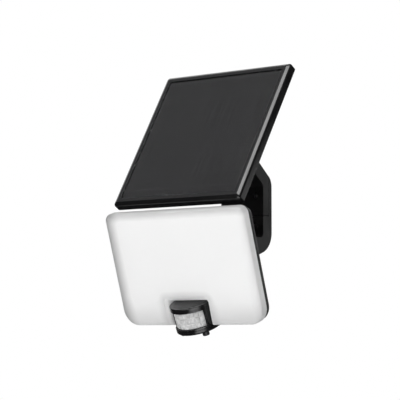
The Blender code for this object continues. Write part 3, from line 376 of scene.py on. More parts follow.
def carve(piece, tool, operation="DIFFERENCE"):
    """Boolean whose result is kept as the piece's mesh; the tool is then removed."""
    modifier = piece.modifiers.new("carve", "BOOLEAN")
    modifier.operation = operation
    modifier.solver = "EXACT"
    modifier.object = tool
    bpy.context.view_layer.update()
    depsgraph = bpy.context.evaluated_depsgraph_get()
    mesh = bpy.data.meshes.new_from_object(piece.evaluated_get(depsgraph))
    piece.modifiers.clear()
    piece.data = mesh
    bpy.data.objects.remove(tool, do_unlink=True)


def drill(piece, radius, start, end, place=WORLD, centre=(0.0, 0.0, 0.0), along=along_y):
    """Cut a round hole between two heights along an axis."""
    carve(piece, turned("hole", [(radius, start), (radius, end)], place, centre, along))


def smooth(piece, angle=35):
    piece.data.shade_smooth()
    piece.data.set_sharp_from_angle(angle=math.radians(angle))


def round_edges(piece, width, segments=3, angle=32):
    """Small rounding on every edge sharper than an angle, as moulded pieces have."""
    piece.data.shade_smooth()
    modifier = piece.modifiers.new("edges", "BEVEL")
    modifier.width = width
    modifier.segments = segments
    modifier.limit_method = "ANGLE"
    modifier.angle_limit = math.radians(angle)
    modifier.harden_normals = True
    modifier.use_clamp_overlap = True


def place_piece(piece, node, body, slot="black_plastic", finish=None):
    """Hand a finished piece to its body, in place of its CAD node, with its mesh in world coordinates."""
    piece.data.transform(piece.matrix_world)
    piece.matrix_world = WORLD
    piece.data.materials.clear()
    piece.data.materials.append(MATERIALS[finish or slot])
    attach(piece, body)
    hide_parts(node)


# ------------ materials

def set_inputs(node, **values):
    for key, value in values.items():
        node.inputs[key.replace("_", " ")].default_value = value


def new_material(name, colour, roughness, metallic=0.0, specular=0.5):
    material = bpy.data.materials.new(name)
    material.use_nodes = True
    shader = material.node_tree.nodes["Principled BSDF"]
    set_inputs(shader, Base_Color=(*colour, 1.0), Roughness=roughness, Metallic=metallic)
    set_inputs(shader, Specular_IOR_Level=specular)
    return material, material.node_tree, shader


def add_node(tree, kind, **values):
    node = tree.nodes.new(kind)
    set_inputs(node, **values)
    return node


def feed(node, name, socket):
    node.id_data.links.new(socket, node.inputs[name])


def object_coordinates(tree):
    return tree.nodes.new("ShaderNodeTexCoord").outputs["Object"]


def frame_coordinates(tree, place, scale=(1.0, 1.0, 1.0)):
    """Coordinates in one of the leaning frames, which can be stretched."""
    inverse = place.inverted()
    mapping = add_node(tree, "ShaderNodeMapping")
    set_inputs(mapping, Location=inverse.to_translation(), Rotation=inverse.to_euler())
    feed(mapping, "Vector", object_coordinates(tree))
    stretch = add_node(tree, "ShaderNodeMapping", Scale=scale)
    feed(stretch, "Vector", mapping.outputs["Vector"])
    return stretch.outputs["Vector"]


def split(tree, vector):
    """The three parts of a vector."""
    node = tree.nodes.new("ShaderNodeSeparateXYZ")
    feed(node, "Vector", vector)
    return node.outputs["X"], node.outputs["Y"], node.outputs["Z"]


def noise(tree, scale, detail=2.0, vector=None):
    node = add_node(tree, "ShaderNodeTexNoise", Scale=scale, Detail=detail)
    feed(node, "Vector", vector or object_coordinates(tree))
    return node.outputs["Fac"]


def remap(tree, value, low, high, from_low=0.3, from_high=0.7):
    node = add_node(tree, "ShaderNodeMapRange", To_Min=low, To_Max=high)
    set_inputs(node, From_Min=from_low, From_Max=from_high)
    feed(node, "Value", value)
    return node.outputs["Result"]


def smooth_step(tree, value, low, high, from_low, from_high):
    """Like remap, but easing in and out."""
    result = remap(tree, value, low, high, from_low, from_high)
    result.node.interpolation_type = "SMOOTHSTEP"
    return result


def calculate(tree, operation, first, second=0.0):
    """Math node on two values, each a socket or a number."""
    node = tree.nodes.new("ShaderNodeMath")
    node.operation = operation
    for socket, value in zip(node.inputs, (first, second)):
        if isinstance(value, float):
            socket.default_value = value
        else:
            tree.links.new(value, socket)
    return node.outputs["Value"]


def beyond(tree, value, limit):
    """How far a coordinate's size is beyond a limit, or zero inside it."""
    return calculate(tree, "MAXIMUM", calculate(tree, "SUBTRACT", value, limit), 0.0)


def add_bump(shader, height, distance, strength):
    node = add_node(shader.id_data, "ShaderNodeBump", Strength=strength, Distance=distance)
    feed(node, "Height", height)
    feed(shader, "Normal", node.outputs["Normal"])


def add_depth(shader, weight, scale):
    """Light that scatters below the surface."""
    set_inputs(shader, Subsurface_Weight=weight, Subsurface_Scale=scale, Subsurface_Radius=WHITE)


def add_glow(shader, strength):
    set_inputs(shader, Emission_Color=(*WHITE, 1.0))
    feed(shader, "Emission Strength", strength)


def colour_mix(tree, factor, first, second):
    """Blend of two colours, each a socket or three numbers."""
    node = tree.nodes.new("ShaderNodeMix")
    node.data_type = "RGBA"
    for name, value in (("A", first), ("B", second)):
        if isinstance(value, tuple):
            node.inputs[name].default_value = (*value, 1.0)
        else:
            tree.links.new(value, node.inputs[name])
    feed(node, "Factor", factor)
    return node.outputs["Result"]


def moulded_finish(name, colour, roughness, grain):
    """Material with fine spark-eroded grain and slow changes of shine, and its faintly mottled colour."""
    material, tree, shader = new_material(name, colour, roughness)
    slow = noise(tree, 45.0, 3.0)
    feed(shader, "Roughness", remap(tree, slow, roughness - 0.05, roughness + 0.06))
    add_bump(shader, noise(tree, 2600.0), 0.00006, grain)
    paler = tuple(channel * 1.7 for channel in colour)
    mottling = remap(tree, noise(tree, 380.0, 4.0), 0.0, 0.5)
    return material, shader, colour_mix(tree, mottling, colour, paler)


def moulded_plastic(name, colour, roughness, grain=0.12):
    material, shader, mottled = moulded_finish(name, colour, roughness, grain)
    feed(shader, "Base Color", mottled)
    return material


def frame_material():
    """Glossy black plastic whose flat front lip is painted paler, a painted sheen."""
    material, shader, mottled = moulded_finish("frame_plastic", (0.004, 0.004, 0.0043), 0.21, 0.05)
    tree = material.node_tree
    depth = split(tree, frame_coordinates(tree, PANEL))[1]
    # painted sheen: the flat front lip and its colour are painted paler, standing in for the light it reflects
    lip = remap(tree, depth, 1.0, 0.0, -PANEL_BEVEL_DEPTH + 0.0001, -PANEL_BEVEL_DEPTH + 0.0003)
    feed(shader, "Base Color", colour_mix(tree, lip, mottled, (0.022, 0.022, 0.023)))
    return material


def opal_material():
    """Translucent white with a painted glow, painted shade towards its rim, round the sensor's notch and deep in
    the notch, and painted light on the notch's walls.
    """
    material, tree, shader = new_material("opal", (0.9, 0.9, 0.9), 0.40)
    add_depth(shader, 0.25, 0.004)
    x, y, z = split(tree, frame_coordinates(tree, LAMP))
    width, height = LAMP_HALF_WIDTH, LAMP_HALF_HEIGHT
    across = calculate(tree, "ABSOLUTE", x)
    # painted shade towards each edge of the diffuser
    left = smooth_step(tree, x, OPAL_LEFT[0], 1.0, -width, -width + OPAL_LEFT[1])
    right = smooth_step(tree, x, 1.0, OPAL_RIGHT[0], width - OPAL_RIGHT[1], width)
    top = smooth_step(tree, z, 1.0, OPAL_TOP[0], height - OPAL_TOP[1], height)
    bottom = smooth_step(tree, z, OPAL_BOTTOM[0], 1.0, -height, -height + OPAL_BOTTOM[1])
    sideways = beyond(tree, across, NOTCH_HALF_WIDTH)
    upward = beyond(tree, z, NOTCH_TOP)
    squares = [calculate(tree, "MULTIPLY", value, value) for value in (sideways, upward)]
    distance = calculate(tree, "SQRT", calculate(tree, "ADD", *squares))
    # painted shade round the sensor's notch
    notch = smooth_step(tree, distance, OPAL_NOTCH_SHADE[0], 1.0, *OPAL_NOTCH_SHADE[1:])
    # painted shade deep inside the notch's walls
    deep = smooth_step(tree, y, 0.0, 0.6, -0.001, 0.008)
    inside = smooth_step(tree, distance, 1.0, 0.0, 0.0, 0.002)
    painted_recess_shade = calculate(tree, "SUBTRACT", 1.0, calculate(tree, "MULTIPLY", deep, inside))
    # all the painted shade together, with a faint random tone
    painted_shade_and_tone = calculate(tree, "MULTIPLY", left, right)
    for factor in (top, bottom, notch, painted_recess_shade, remap(tree, noise(tree, 14.0), 0.985, 1.015)):
        painted_shade_and_tone = calculate(tree, "MULTIPLY", painted_shade_and_tone, factor)
    feed(shader, "Base Color", colour_mix(tree, painted_shade_and_tone, (0.0, 0.0, 0.0), (0.90, 0.90, 0.90)))
    # painted light on the notch's walls
    painted_notch_light = smooth_step(tree, distance, NOTCH_PAINTED_LIGHT, 0.0, 0.0, NOTCH_PAINTED_LIGHT_REACH)
    # painted glow, weaker where the painted shade falls
    add_glow(shader, calculate(tree, "ADD", painted_notch_light, calculate(tree, "MULTIPLY", painted_shade_and_tone, OPAL_PAINTED_GLOW)))
    add_bump(shader, noise(tree, 900.0), 0.00004, 0.05)
    return material


def cell_material():
    """Near-black cells with fine streaks and contact fingers along the panel, in a paler border."""
    material, tree, shader = new_material("solar_cells", (0.02, 0.02, 0.022), 0.45, specular=0.2)
    x, z = split(tree, frame_coordinates(tree, PANEL))[::2]

    def stripes(value, pitch, width):
        """One on thin lines a pitch apart, zero between."""
        return remap(tree, calculate(tree, "PINGPONG", value, pitch / 2), 1.0, 0.0, width * 0.5, width)

    fingers = calculate(tree, "MULTIPLY", stripes(x, FINGER_PITCH, FINGER_WIDTH), FINGER_STRENGTH)
    both = calculate(tree, "MAXIMUM", fingers, stripes(z, CELL_PITCH, CELL_LINE_WIDTH))
    streaks = noise(tree, 1.0, 3.0, frame_coordinates(tree, PANEL, (620.0, 1.0, 14.0)))
    dark = colour_mix(tree, remap(tree, streaks, 0.0, 1.0), (0.012, 0.012, 0.013), (0.040, 0.040, 0.042))
    cells = colour_mix(tree, both, dark, (0.06, 0.06, 0.064))
    sideways = calculate(tree, "SUBTRACT", calculate(tree, "ABSOLUTE", x), CELL_AREA_HALF_WIDTH)
    low = calculate(tree, "SUBTRACT", CELL_AREA_BOTTOM, z)
    high = calculate(tree, "SUBTRACT", z, CELL_AREA_TOP)
    outside = calculate(tree, "MAXIMUM", calculate(tree, "MAXIMUM", low, high), sideways)
    border = remap(tree, outside, 0.0, 1.0, 0.0, 0.0006)
    line = remap(tree, calculate(tree, "ABSOLUTE", outside), 0.6, 0.0, 0.0003, 0.0012)
    margin = remap(tree, noise(tree, 500.0, 3.0), 0.0, 1.0)
    printed = colour_mix(tree, margin, (0.022, 0.022, 0.024), (0.030, 0.030, 0.032))
    whole = colour_mix(tree, border, cells, printed)
    feed(shader, "Base Color", colour_mix(tree, line, whole, (0.055, 0.055, 0.058)))
    return material


def clear_material():
    """Clear, glossy front sheet with the faintest unevenness."""
    material, tree, shader = new_material("clear_sheet", (0.95, 0.95, 0.95), 0.06)
    set_inputs(shader, Transmission_Weight=1.0, IOR=1.40)
    add_bump(shader, noise(tree, 60.0), 0.0002, 0.06)
    return material


def window_material():
    """Milky infrared window."""
    material, tree, shader = new_material("window", (0.68, 0.68, 0.68), 0.14)
    add_depth(shader, 0.3, 0.0015)
    cloud = remap(tree, noise(tree, 220.0), 0.0, 1.0)
    milk = colour_mix(tree, cloud, (0.60, 0.60, 0.60), (0.84, 0.84, 0.84))
    feed(shader, "Base Color", milk)
    add_bump(shader, noise(tree, 1500.0, 1.0), 0.00004, 0.06)
    return material


def steel_material():
    """Blackened steel with fine turned scratches."""
    material, tree, shader = new_material("plated_steel", (0.20, 0.20, 0.21), 0.36, metallic=1.0)
    feed(shader, "Roughness", remap(tree, noise(tree, 700.0, 3.0), 0.28, 0.46))
    add_bump(shader, noise(tree, 3000.0), 0.00003, 0.10)
    return material


def rubber_material():
    material, tree, shader = new_material("rubber", (0.018, 0.018, 0.018), 0.75, specular=0.35)
    feed(shader, "Roughness", remap(tree, noise(tree, 120.0, 3.0), 0.68, 0.85))
    add_bump(shader, noise(tree, 1800.0, 3.0), 0.00008, 0.2)
    return material


def speckled_material(name, first, second, scale, roughness):
    """Simple two-tone finish for pieces inside the lamp."""
    material, tree, shader = new_material(name, first, roughness)
    speckle = remap(tree, noise(tree, scale, 3.0), 0.0, 1.0)
    feed(shader, "Base Color", colour_mix(tree, speckle, first, second))
    add_bump(shader, noise(tree, scale * 3), 0.00005, 0.1)
    return material


MATERIALS = {
    "black_plastic": moulded_plastic("black_plastic", (0.013, 0.013, 0.0135), 0.42),
    "frame_plastic": frame_material(),
    "sensor_plastic": moulded_plastic("sensor_plastic", (0.006, 0.006, 0.0064), 0.22, grain=0.03),
    "clear_sheet": clear_material(),
    "solar_cells": cell_material(),
    "opal_plastic": opal_material(),
    "white_plastic": speckled_material("white_plastic", (0.82, 0.82, 0.82), (0.88, 0.88, 0.88), 90.0, 0.5),
    "window_plastic": window_material(),
    "rubber": rubber_material(),
    "steel": steel_material(),
    "circuit_board": speckled_material("circuit_board", (0.02, 0.13, 0.05), (0.04, 0.20, 0.09), 260.0, 0.4),
    "light_board": speckled_material("light_board", (0.78, 0.78, 0.78), (0.84, 0.84, 0.84), 140.0, 0.4),
    "battery_cell": speckled_material("battery_cell", (0.08, 0.20, 0.42), (0.11, 0.25, 0.50), 60.0, 0.3),
}


def finish_carried_nodes():
    """Every CAD node gets its procedural finish, seen or not."""
    slots = {part["node"]: part["material_slot"] for part in frame["record"]["subparts"]}
    for name, node in frame["nodes"].items():
        node.data.materials.clear()
        node.data.materials.append(MATERIALS[slots[name]])
        smooth(node)


# ------------ small hardware

def screw(name, body, place, centre, head_depth, tip_depth):
    """Domed screw with a cross recess, driven along the frame's Y."""
    side = math.copysign(1.0, head_depth - tip_depth)
    top = head_depth + side * SCREW_HEAD_THICKNESS
    profile = [
        (SCREW_RADIUS * 0.6, tip_depth),
        (SCREW_RADIUS, tip_depth + side * 0.001), (SCREW_RADIUS, head_depth),
    ]
    for share, height in SCREW_DOME:
        profile.append((SCREW_HEAD_RADIUS * share, head_depth + side * SCREW_HEAD_THICKNESS * height))
    piece = turned(f"{name}_fine", profile, place, centre)
    long = SCREW_HEAD_RADIUS * 0.62
    short = SCREW_HEAD_RADIUS * 0.13
    ends = (top - side * SCREW_HEAD_THICKNESS * 0.75, top + side * PAST)
    for width, height in ((long, short), (short, long)):
        low = (centre[0] - width, min(ends), centre[2] - height)
        high = (centre[0] + width, max(ends), centre[2] + height)
        carve(piece, block("cross", low, high, place))
    smooth(piece)
    place_piece(piece, name, body, "steel")


def back_screws(cover, body, place, across, heights, head_depth, tip_depth, hole_start, hole_end):
    """Four screws in a back face, in holes with sunken seats."""
    for level, z in heights.items():
        for side, x in (("left", -across), ("right", across)):
            centre = (x, 0.0, z)
            drill(cover, SCREW_HEAD_RADIUS + GAP, head_depth - GAP, hole_end, place, centre)
            drill(cover, SCREW_RADIUS + GAP, hole_start, hole_end, place, centre)
            screw(f"{body}_screw_{level}_{side}", body, place, centre, head_depth, tip_depth)


def hinge_hardware(name, place, washer_radius):
    """Chamfered hexagon bolt and nut, and two washers, which ride on the body of the same name."""
    lug_face = KNUCKLE_HALF_WIDTH + WASHER_THICKNESS + 2 * GAP + LUG_THICKNESS
    face = lug_face + GAP
    end = face + BOLT_HEAD_THICKNESS
    head = hexagon(BOLT_HEAD_APOTHEM)
    foot = BOLT_HEAD_APOTHEM * 0.98
    flat = BOLT_HEAD_APOTHEM * 0.93
    profile = [
        (flat, end), (head, end - BOLT_CHAMFER), (head, face + 0.0002), (foot, face),
        (BOLT_RADIUS, face), (BOLT_RADIUS, -end - BOLT_CHAMFER), (BOLT_RADIUS * 0.8, -end - BOLT_END),
    ]
    bolt = turned(f"{name}_bolt", profile, place, along=along_x)
    smooth(bolt, 25)
    place_piece(bolt, f"{name}_hinge_bolt", name, "steel")
    bore = BOLT_RADIUS + GAP
    profile = [
        (bore, -face), (foot, -face), (head, -face - 0.0003), (head, -end + BOLT_CHAMFER),
        (flat, -end), (bore + 0.0003, -end), (bore, -end + 0.0003),
    ]
    nut = turned(f"{name}_nut", profile, place, along=along_x, closed=True)
    smooth(nut, 25)
    place_piece(nut, f"{name}_hinge_nut", name, "steel")
    for side, sign in (("left", -1), ("right", 1)):
        near = sign * (KNUCKLE_HALF_WIDTH + GAP)
        far = near + sign * WASHER_THICKNESS
        edge = sign * WASHER_EDGE
        profile = [
            (bore, near),
            (washer_radius - WASHER_EDGE, near),
            (washer_radius, near + edge),
            (washer_radius, far - edge),
            (washer_radius - WASHER_EDGE, far),
            (bore, far),
        ]
        washer = turned(f"{name}_washer_{side}", profile, place, along=along_x, closed=True)
        smooth(washer)
        place_piece(washer, f"{name}_friction_washer_{side}", name, "rubber")


def gland(body, place, centre, base_depth):
    """Cable gland: flange, hexagon, fluted nut and a soft nose round its bore."""
    fluted = wavy_circle(0.0050, depth=0.0003, count=12)
    outline = (
        (GLAND_BORE, 0.0), (0.0068, 0.0), (0.0070, 0.0002), (0.0070, 0.0012), (0.0067, 0.0015),
        (0.0058, 0.0016), (hexagon(0.0053), 0.0018), (hexagon(0.0055), 0.0022),
        (hexagon(0.0055), 0.0040), (0.0050, 0.0044), (fluted, 0.0048), (fluted, 0.0068),
        (0.0044, 0.0078), (0.0040, 0.0088), (0.0034, 0.0094), (0.0026, 0.0095), (GLAND_BORE, 0.0092),
    )
    profile = [(shape, base_depth + GAP + height) for shape, height in outline]
    piece = turned(f"{body}_gland_fine", profile, place, centre, closed=True)
    smooth(piece, 28)
    place_piece(piece, f"{body}_cable_gland", body)


# ------------ bracket

def bracket_profile():
    """Side profile of the whole bracket in Y and Z."""
    pivot = (PANEL_PIVOT.y, PANEL_PIVOT.z)
    lamp = (LAMP_PIVOT.y, LAMP_PIVOT.z)
    radius = PANEL_KNUCKLE_RADIUS
    direction = (pivot[0] - UPPER_BEND[0], pivot[1] - UPPER_BEND[1])
    outer_angle = math.atan2(direction[1], direction[0]) - math.asin(radius / math.hypot(*direction))
    outer_degrees = math.degrees(outer_angle)
    inner_line = (
        pivot[0] - radius * math.cos(outer_angle - math.pi / 2),
        pivot[1] - radius * math.sin(outer_angle - math.pi / 2),
    )
    inner_rise = math.tan(outer_angle) * (-STRAP_DEPTH - inner_line[0])
    upper_inner_bend = (-STRAP_DEPTH, inner_line[1] + inner_rise)
    lower_inner_bend = (-STRAP_DEPTH, LOWER_INNER_HEIGHT)
    lamp_top = (lamp[0], lamp[1] + LAMP_KNUCKLE_RADIUS)
    points = fillet((0.0, 0.0), UPPER_BEND, pivot, UPPER_BEND_RADIUS)
    points += arc(pivot, radius, outer_degrees - 90, outer_degrees + 90, 24)
    points += fillet(inner_line, upper_inner_bend, lower_inner_bend, INNER_BEND_RADIUS)
    points += fillet(upper_inner_bend, lower_inner_bend, lamp_top, INNER_BEND_RADIUS)
    points += arc(lamp, LAMP_KNUCKLE_RADIUS, 90, 270, 32)
    points.append(LOWER_SLOPE_END)
    points += fillet(LOWER_SLOPE_END, LOWER_BEND, (0.0, 0.0), LOWER_BEND_RADIUS, 20)
    return points


def bracket_piece(name, low_y, high_y, low_z, high_z):
    """The whole profile, kept between two depths and two heights."""
    half = BRACKET_HALF_WIDTH
    profile = bracket_profile()
    piece = loft(name, [along_x(profile, -half), along_x(profile, half)])
    carve(piece, block("region", (-0.1, low_y, low_z), (0.1, high_y, high_z)), "INTERSECT")
    return piece


def cut_hinge_slots(arm, pivot, lean):
    slot_frame = Matrix.Translation(pivot) @ Matrix.Rotation(lean, 4, "X")
    for side in (-1, 1):
        inner = side * KNUCKLE_HALF_WIDTH
        outer = side * (BRACKET_HALF_WIDTH + 0.002)
        low = (min(inner, outer), -SLOT_HALF_HEIGHT, -SLOT_HALF_HEIGHT)
        high = (max(inner, outer), SLOT_REACH, SLOT_HALF_HEIGHT)
        carve(arm, block("slot", low, high, slot_frame))


def make_bracket():
    front_of_plate = -PLATE_THICKNESS - GAP
    plate = bracket_piece("wall_plate_fine", -PLATE_THICKNESS, 0.01, -FAR, FAR)
    arms = {
        "upper": bracket_piece("upper_arm_fine", -FAR, front_of_plate, SEAM_HALF_GAP, FAR),
        "lower": bracket_piece("lower_arm_fine", -FAR, front_of_plate, -FAR, -SEAM_HALF_GAP),
    }
    upper_lean = math.atan2(UPPER_BEND[1] - PANEL_PIVOT.z, -PANEL_PIVOT.y)
    cut_hinge_slots(arms["upper"], PANEL_PIVOT, upper_lean)
    cut_hinge_slots(arms["lower"], LAMP_PIVOT, 0.0)
    for level, pivot in (("upper", PANEL_PIVOT), ("lower", LAMP_PIVOT)):
        drill(arms[level], BOLT_RADIUS + GAP, -BORE_REACH, BORE_REACH, centre=pivot, along=along_x)
    head_depth = -STRAP_DEPTH + SCREW_HEAD_THICKNESS + GAP
    tip_depth = -PLATE_THICKNESS / 2
    start = -0.03
    for level, height in BRACKET_SCREW_HEIGHTS.items():
        for side, x in (("left", -BRACKET_SCREW_X), ("right", BRACKET_SCREW_X)):
            centre = (x, 0.0, height)
            drill(arms[level], SCREW_RADIUS + GAP, start, tip_depth + GAP, centre=centre)
            drill(arms[level], SCREW_HEAD_RADIUS + GAP, start, head_depth + GAP, centre=centre)
            drill(plate, SCREW_RADIUS + GAP, start, tip_depth + GAP, centre=centre)
            screw(f"bracket_screw_{level}_{side}", "bracket", WORLD, centre, head_depth, tip_depth)
        drill(plate, WALL_SCREW_RADIUS, -0.02, 0.02, centre=(0.0, 0.0, height))
    for piece, node in ((plate, "wall_plate"), (arms["upper"], "upper_arm"), (arms["lower"], "lower_arm")):
        round_edges(piece, 0.0007)
        place_piece(piece, node, "bracket")


# ------------ hinges

def add_lugs(piece, place, pivot, foot, radius, half_height):
    """Two ears that stand on a back face, with the bolt's bore through them."""
    reach = pivot[0] - foot
    lean = math.atan2(half_height, reach) + math.acos(radius / math.hypot(half_height, reach))
    tangent = math.degrees(lean)
    outline = [(foot, pivot[1] + half_height), (foot, pivot[1] - half_height)]
    outline += arc(pivot, radius, tangent - 180, 180 - tangent, 28)
    for side in (-1, 1):
        inner = side * (KNUCKLE_HALF_WIDTH + WASHER_THICKNESS + 2 * GAP)
        outer = inner + side * LUG_THICKNESS
        carve(piece, loft("lug", [along_x(outline, inner), along_x(outline, outer)], place), "UNION")
    drill(piece, BOLT_RADIUS + GAP, -BORE_REACH, BORE_REACH, place, (0.0, *pivot), along_x)


# ------------ panel

def panel_ring(inset, depth, radius):
    width = PANEL_HALF_WIDTH - inset
    height = PANEL_HALF_HEIGHT - inset
    return along_y(rounded_rectangle(width, height, -height, radius, radius), depth)


def make_panel_frame():
    front = -PANEL_BEVEL_DEPTH
    seat_depth = front + SHEET_RECESS + SHEET_THICKNESS + CELL_THICKNESS + 2 * GAP
    ledge_depth = seat_depth + PANEL_FLANGE_THICKNESS
    lip = PANEL_BEVEL_WIDTH + PANEL_LIP_WIDTH
    corner = 0.003
    rounding = fillet((0.0, PANEL_SIDE_DEPTH), (0.0, 0.0), (PANEL_BEVEL_WIDTH, front), corner, 6)
    rings = [
        panel_ring(0.0, PANEL_SIDE_DEPTH, corner),
        *(panel_ring(inset, depth, corner) for inset, depth in rounding),
        panel_ring(PANEL_BEVEL_WIDTH, front, SHEET_RADIUS),
        panel_ring(lip, front, SHEET_RADIUS),
        panel_ring(lip, seat_depth, SHEET_RADIUS),
        panel_ring(PANEL_FLANGE_INSET, seat_depth, SHEET_RADIUS),
        panel_ring(PANEL_FLANGE_INSET, ledge_depth, SHEET_RADIUS),
        panel_ring(PANEL_SKIRT, ledge_depth, PANEL_INNER_RADIUS),
        panel_ring(PANEL_SKIRT, PANEL_SIDE_DEPTH, PANEL_INNER_RADIUS),
    ]
    piece = loft("panel_frame_fine", rings, PANEL, closed=True)
    round_edges(piece, 0.00035, 3, 25)
    place_piece(piece, "panel_frame", "panel", "frame_plastic")


def make_sheet(name, node, slot, top, thickness, rounding, segments):
    """Flat sheet in the panel's frame."""
    inset = PANEL_BEVEL_WIDTH + PANEL_LIP_WIDTH + GAP
    rings = [panel_ring(inset, top, SHEET_RADIUS), panel_ring(inset, top + thickness, SHEET_RADIUS)]
    sheet = loft(name, rings, PANEL)
    round_edges(sheet, rounding, segments)
    place_piece(sheet, node, "panel", slot)


def make_panel_sheets():
    top = SHEET_RECESS - PANEL_BEVEL_DEPTH
    cell_top = top + SHEET_THICKNESS + GAP
    make_sheet("cover_sheet_fine", "panel_cover_sheet", "clear_sheet", top, SHEET_THICKNESS, 0.0002, 2)
    make_sheet("cell_sheet_fine", "solar_cell_sheet", "solar_cells", cell_top, CELL_THICKNESS, 0.0001, 1)


def make_panel_back():
    inset = PANEL_SKIRT + GAP
    floor = PANEL_SIDE_DEPTH - PANEL_DISH_DEPTH
    rings = [
        panel_ring(inset, PANEL_SIDE_DEPTH - PANEL_COVER_THICKNESS, PANEL_INNER_RADIUS),
        panel_ring(inset, PANEL_SIDE_DEPTH, PANEL_INNER_RADIUS),
        panel_ring(PANEL_DISH_INSET, PANEL_SIDE_DEPTH, PANEL_DISH_RADIUS),
        panel_ring(PANEL_DISH_INSET + PANEL_DISH_SLOPE, floor, PANEL_DISH_RADIUS),
    ]
    cover = loft("panel_back_fine", rings, PANEL)
    first, pitch = 0.036, 0.0078
    half_width, half_length = 0.001, 0.062
    for side in (-1, 1):
        for column in range(5):
            x = side * (first + pitch * column)
            low = (x - half_width, floor - PANEL_GROOVE_DEPTH, -half_length)
            high = (x + half_width, PANEL_SIDE_DEPTH, half_length)
            carve(cover, block("groove", low, high, PANEL))
    foot = PANEL_SIDE_DEPTH - PANEL_FOOT_DEPTH
    pivot = (-PANEL_OFFSET.y, -PANEL_OFFSET.z)
    add_lugs(cover, PANEL, pivot, foot, radius=0.0085, half_height=0.011)
    across = PANEL_HALF_WIDTH - PANEL_SCREW_OFFSET
    up = PANEL_HALF_HEIGHT - PANEL_SCREW_OFFSET
    heights = {"upper": up, "lower": -up}
    depths = {"tip_depth": 0.0036, "hole_start": 0.0, "hole_end": 0.02}
    back_screws(cover, "panel", PANEL, across, heights, foot, **depths)
    round_edges(cover, 0.0005)
    place_piece(cover, "panel_back_cover", "panel")
    gland("panel", PANEL, (0.0, 0.0, -0.045), floor)


def make_panel():
    make_panel_frame()
    make_panel_sheets()
    make_panel_back()
    hinge_hardware("panel", PANEL_PIVOT_FRAME, washer_radius=0.007)


# ------------ lamp

def lamp_ring(inset, depth, drop=0.0):
    """Ring of the lamp's rounded outline, moved in by an inset, and at its top also by a drop."""
    top_radius = max(LAMP_TOP_RADIUS - inset, LAMP_LEAST_TOP_RADIUS)
    bottom_radius = max(LAMP_BOTTOM_RADIUS - inset, LAMP_LEAST_BOTTOM_RADIUS)
    width = LAMP_HALF_WIDTH - inset
    height = LAMP_HALF_HEIGHT - inset
    return along_y(rounded_rectangle(width, height - drop, -height, top_radius, bottom_radius), depth)


def diffuser_rings(wall, skirt_depth):
    """Rings of the crowned front, from the middle out to the skirt, moved in by a wall thickness."""
    start = DIFFUSER_EDGE_START
    front = -DIFFUSER_EDGE_DEPTH + start + DIFFUSER_EASING + wall
    rings = []
    for share in (0.95, 0.8, 0.6, 0.4, 0.2):
        inset = DIFFUSER_EDGE_WIDTH + (LAMP_HALF_HEIGHT - DIFFUSER_EDGE_WIDTH - DIFFUSER_MIDDLE) * share
        rings.append(lamp_ring(inset, front - DIFFUSER_CROWN * (1 - (1 - share) ** 2)))
    edge_width = DIFFUSER_EDGE_WIDTH - wall
    for step in range(EDGE_STEPS + 1):
        angle = math.radians(90 * (1 - step / EDGE_STEPS))
        inset = wall + edge_width * (1 - math.cos(angle))
        rings.append(lamp_ring(inset, start - (start - front) * math.sin(angle)))
    rings.append(lamp_ring(wall, skirt_depth))
    return rings


def notch_rings(wall):
    """Notch for the sensor, whose front edge flares out in a rounded lip."""
    half = NOTCH_HALF_WIDTH + wall
    top = NOTCH_TOP + wall
    front = -DIFFUSER_EDGE_DEPTH + DIFFUSER_EDGE_START + wall
    radius = NOTCH_LIP - wall
    flares = [(radius + NOTCH_FLARE, front - NOTCH_FLARE_DEPTH)]
    for step in range(LIP_STEPS + 1):
        angle = math.radians(90 * step / LIP_STEPS)
        flares.append((radius * (1 - math.sin(angle)), front + radius * (1 - math.cos(angle))))
    flares.append((0.0, 0.05))
    rings = []
    for flare, depth in flares:
        corner = NOTCH_CORNER_RADIUS + flare
        outline = rounded_rectangle(half + flare, top + flare, NOTCH_FOOT, corner, 0.001)
        rings.append(along_y(outline, depth))
    return rings


def make_diffuser():
    diffuser = loft("diffuser_fine", diffuser_rings(0.0, DIFFUSER_SKIRT_DEPTH), LAMP)
    cavity = loft("cavity", diffuser_rings(DIFFUSER_WALL, DIFFUSER_SKIRT_DEPTH + 0.01), LAMP)
    carve(cavity, loft("notch_walls", notch_rings(DIFFUSER_WALL), LAMP))
    carve(diffuser, cavity)
    carve(diffuser, loft("notch", notch_rings(0.0), LAMP))
    smooth(diffuser, 40)
    place_piece(diffuser, "diffuser", "lamp", "opal_plastic")


def housing_rings(wall, front_depth, back_depth):
    inset = HOUSING_INSET + wall
    rings = [
        lamp_ring(inset, front_depth),
        lamp_ring(inset, HOUSING_STRAIGHT_END),
        lamp_ring(inset, HOUSING_BAND_END, HOUSING_BAND_DROP),
        lamp_ring(inset + 0.0005, HOUSING_BAND_END + 0.0011, HOUSING_BAND_DROP),
        lamp_ring(inset + 0.0016, HOUSING_BAND_END + 0.0016, HOUSING_BAND_DROP),
    ]
    for share, drop in HOUSING_EDGE_SHAPE:
        grow = HOUSING_EDGE * share - wall
        width = HOUSING_BACK_HALF_WIDTH + grow
        radius = HOUSING_BACK_RADIUS + grow
        top, bottom = HOUSING_BACK_TOP + grow, HOUSING_BACK_BOTTOM - grow
        outline = rounded_rectangle(width, top, bottom, radius, radius)
        rings.append(along_y(outline, back_depth - drop * HOUSING_EDGE))
    return rings


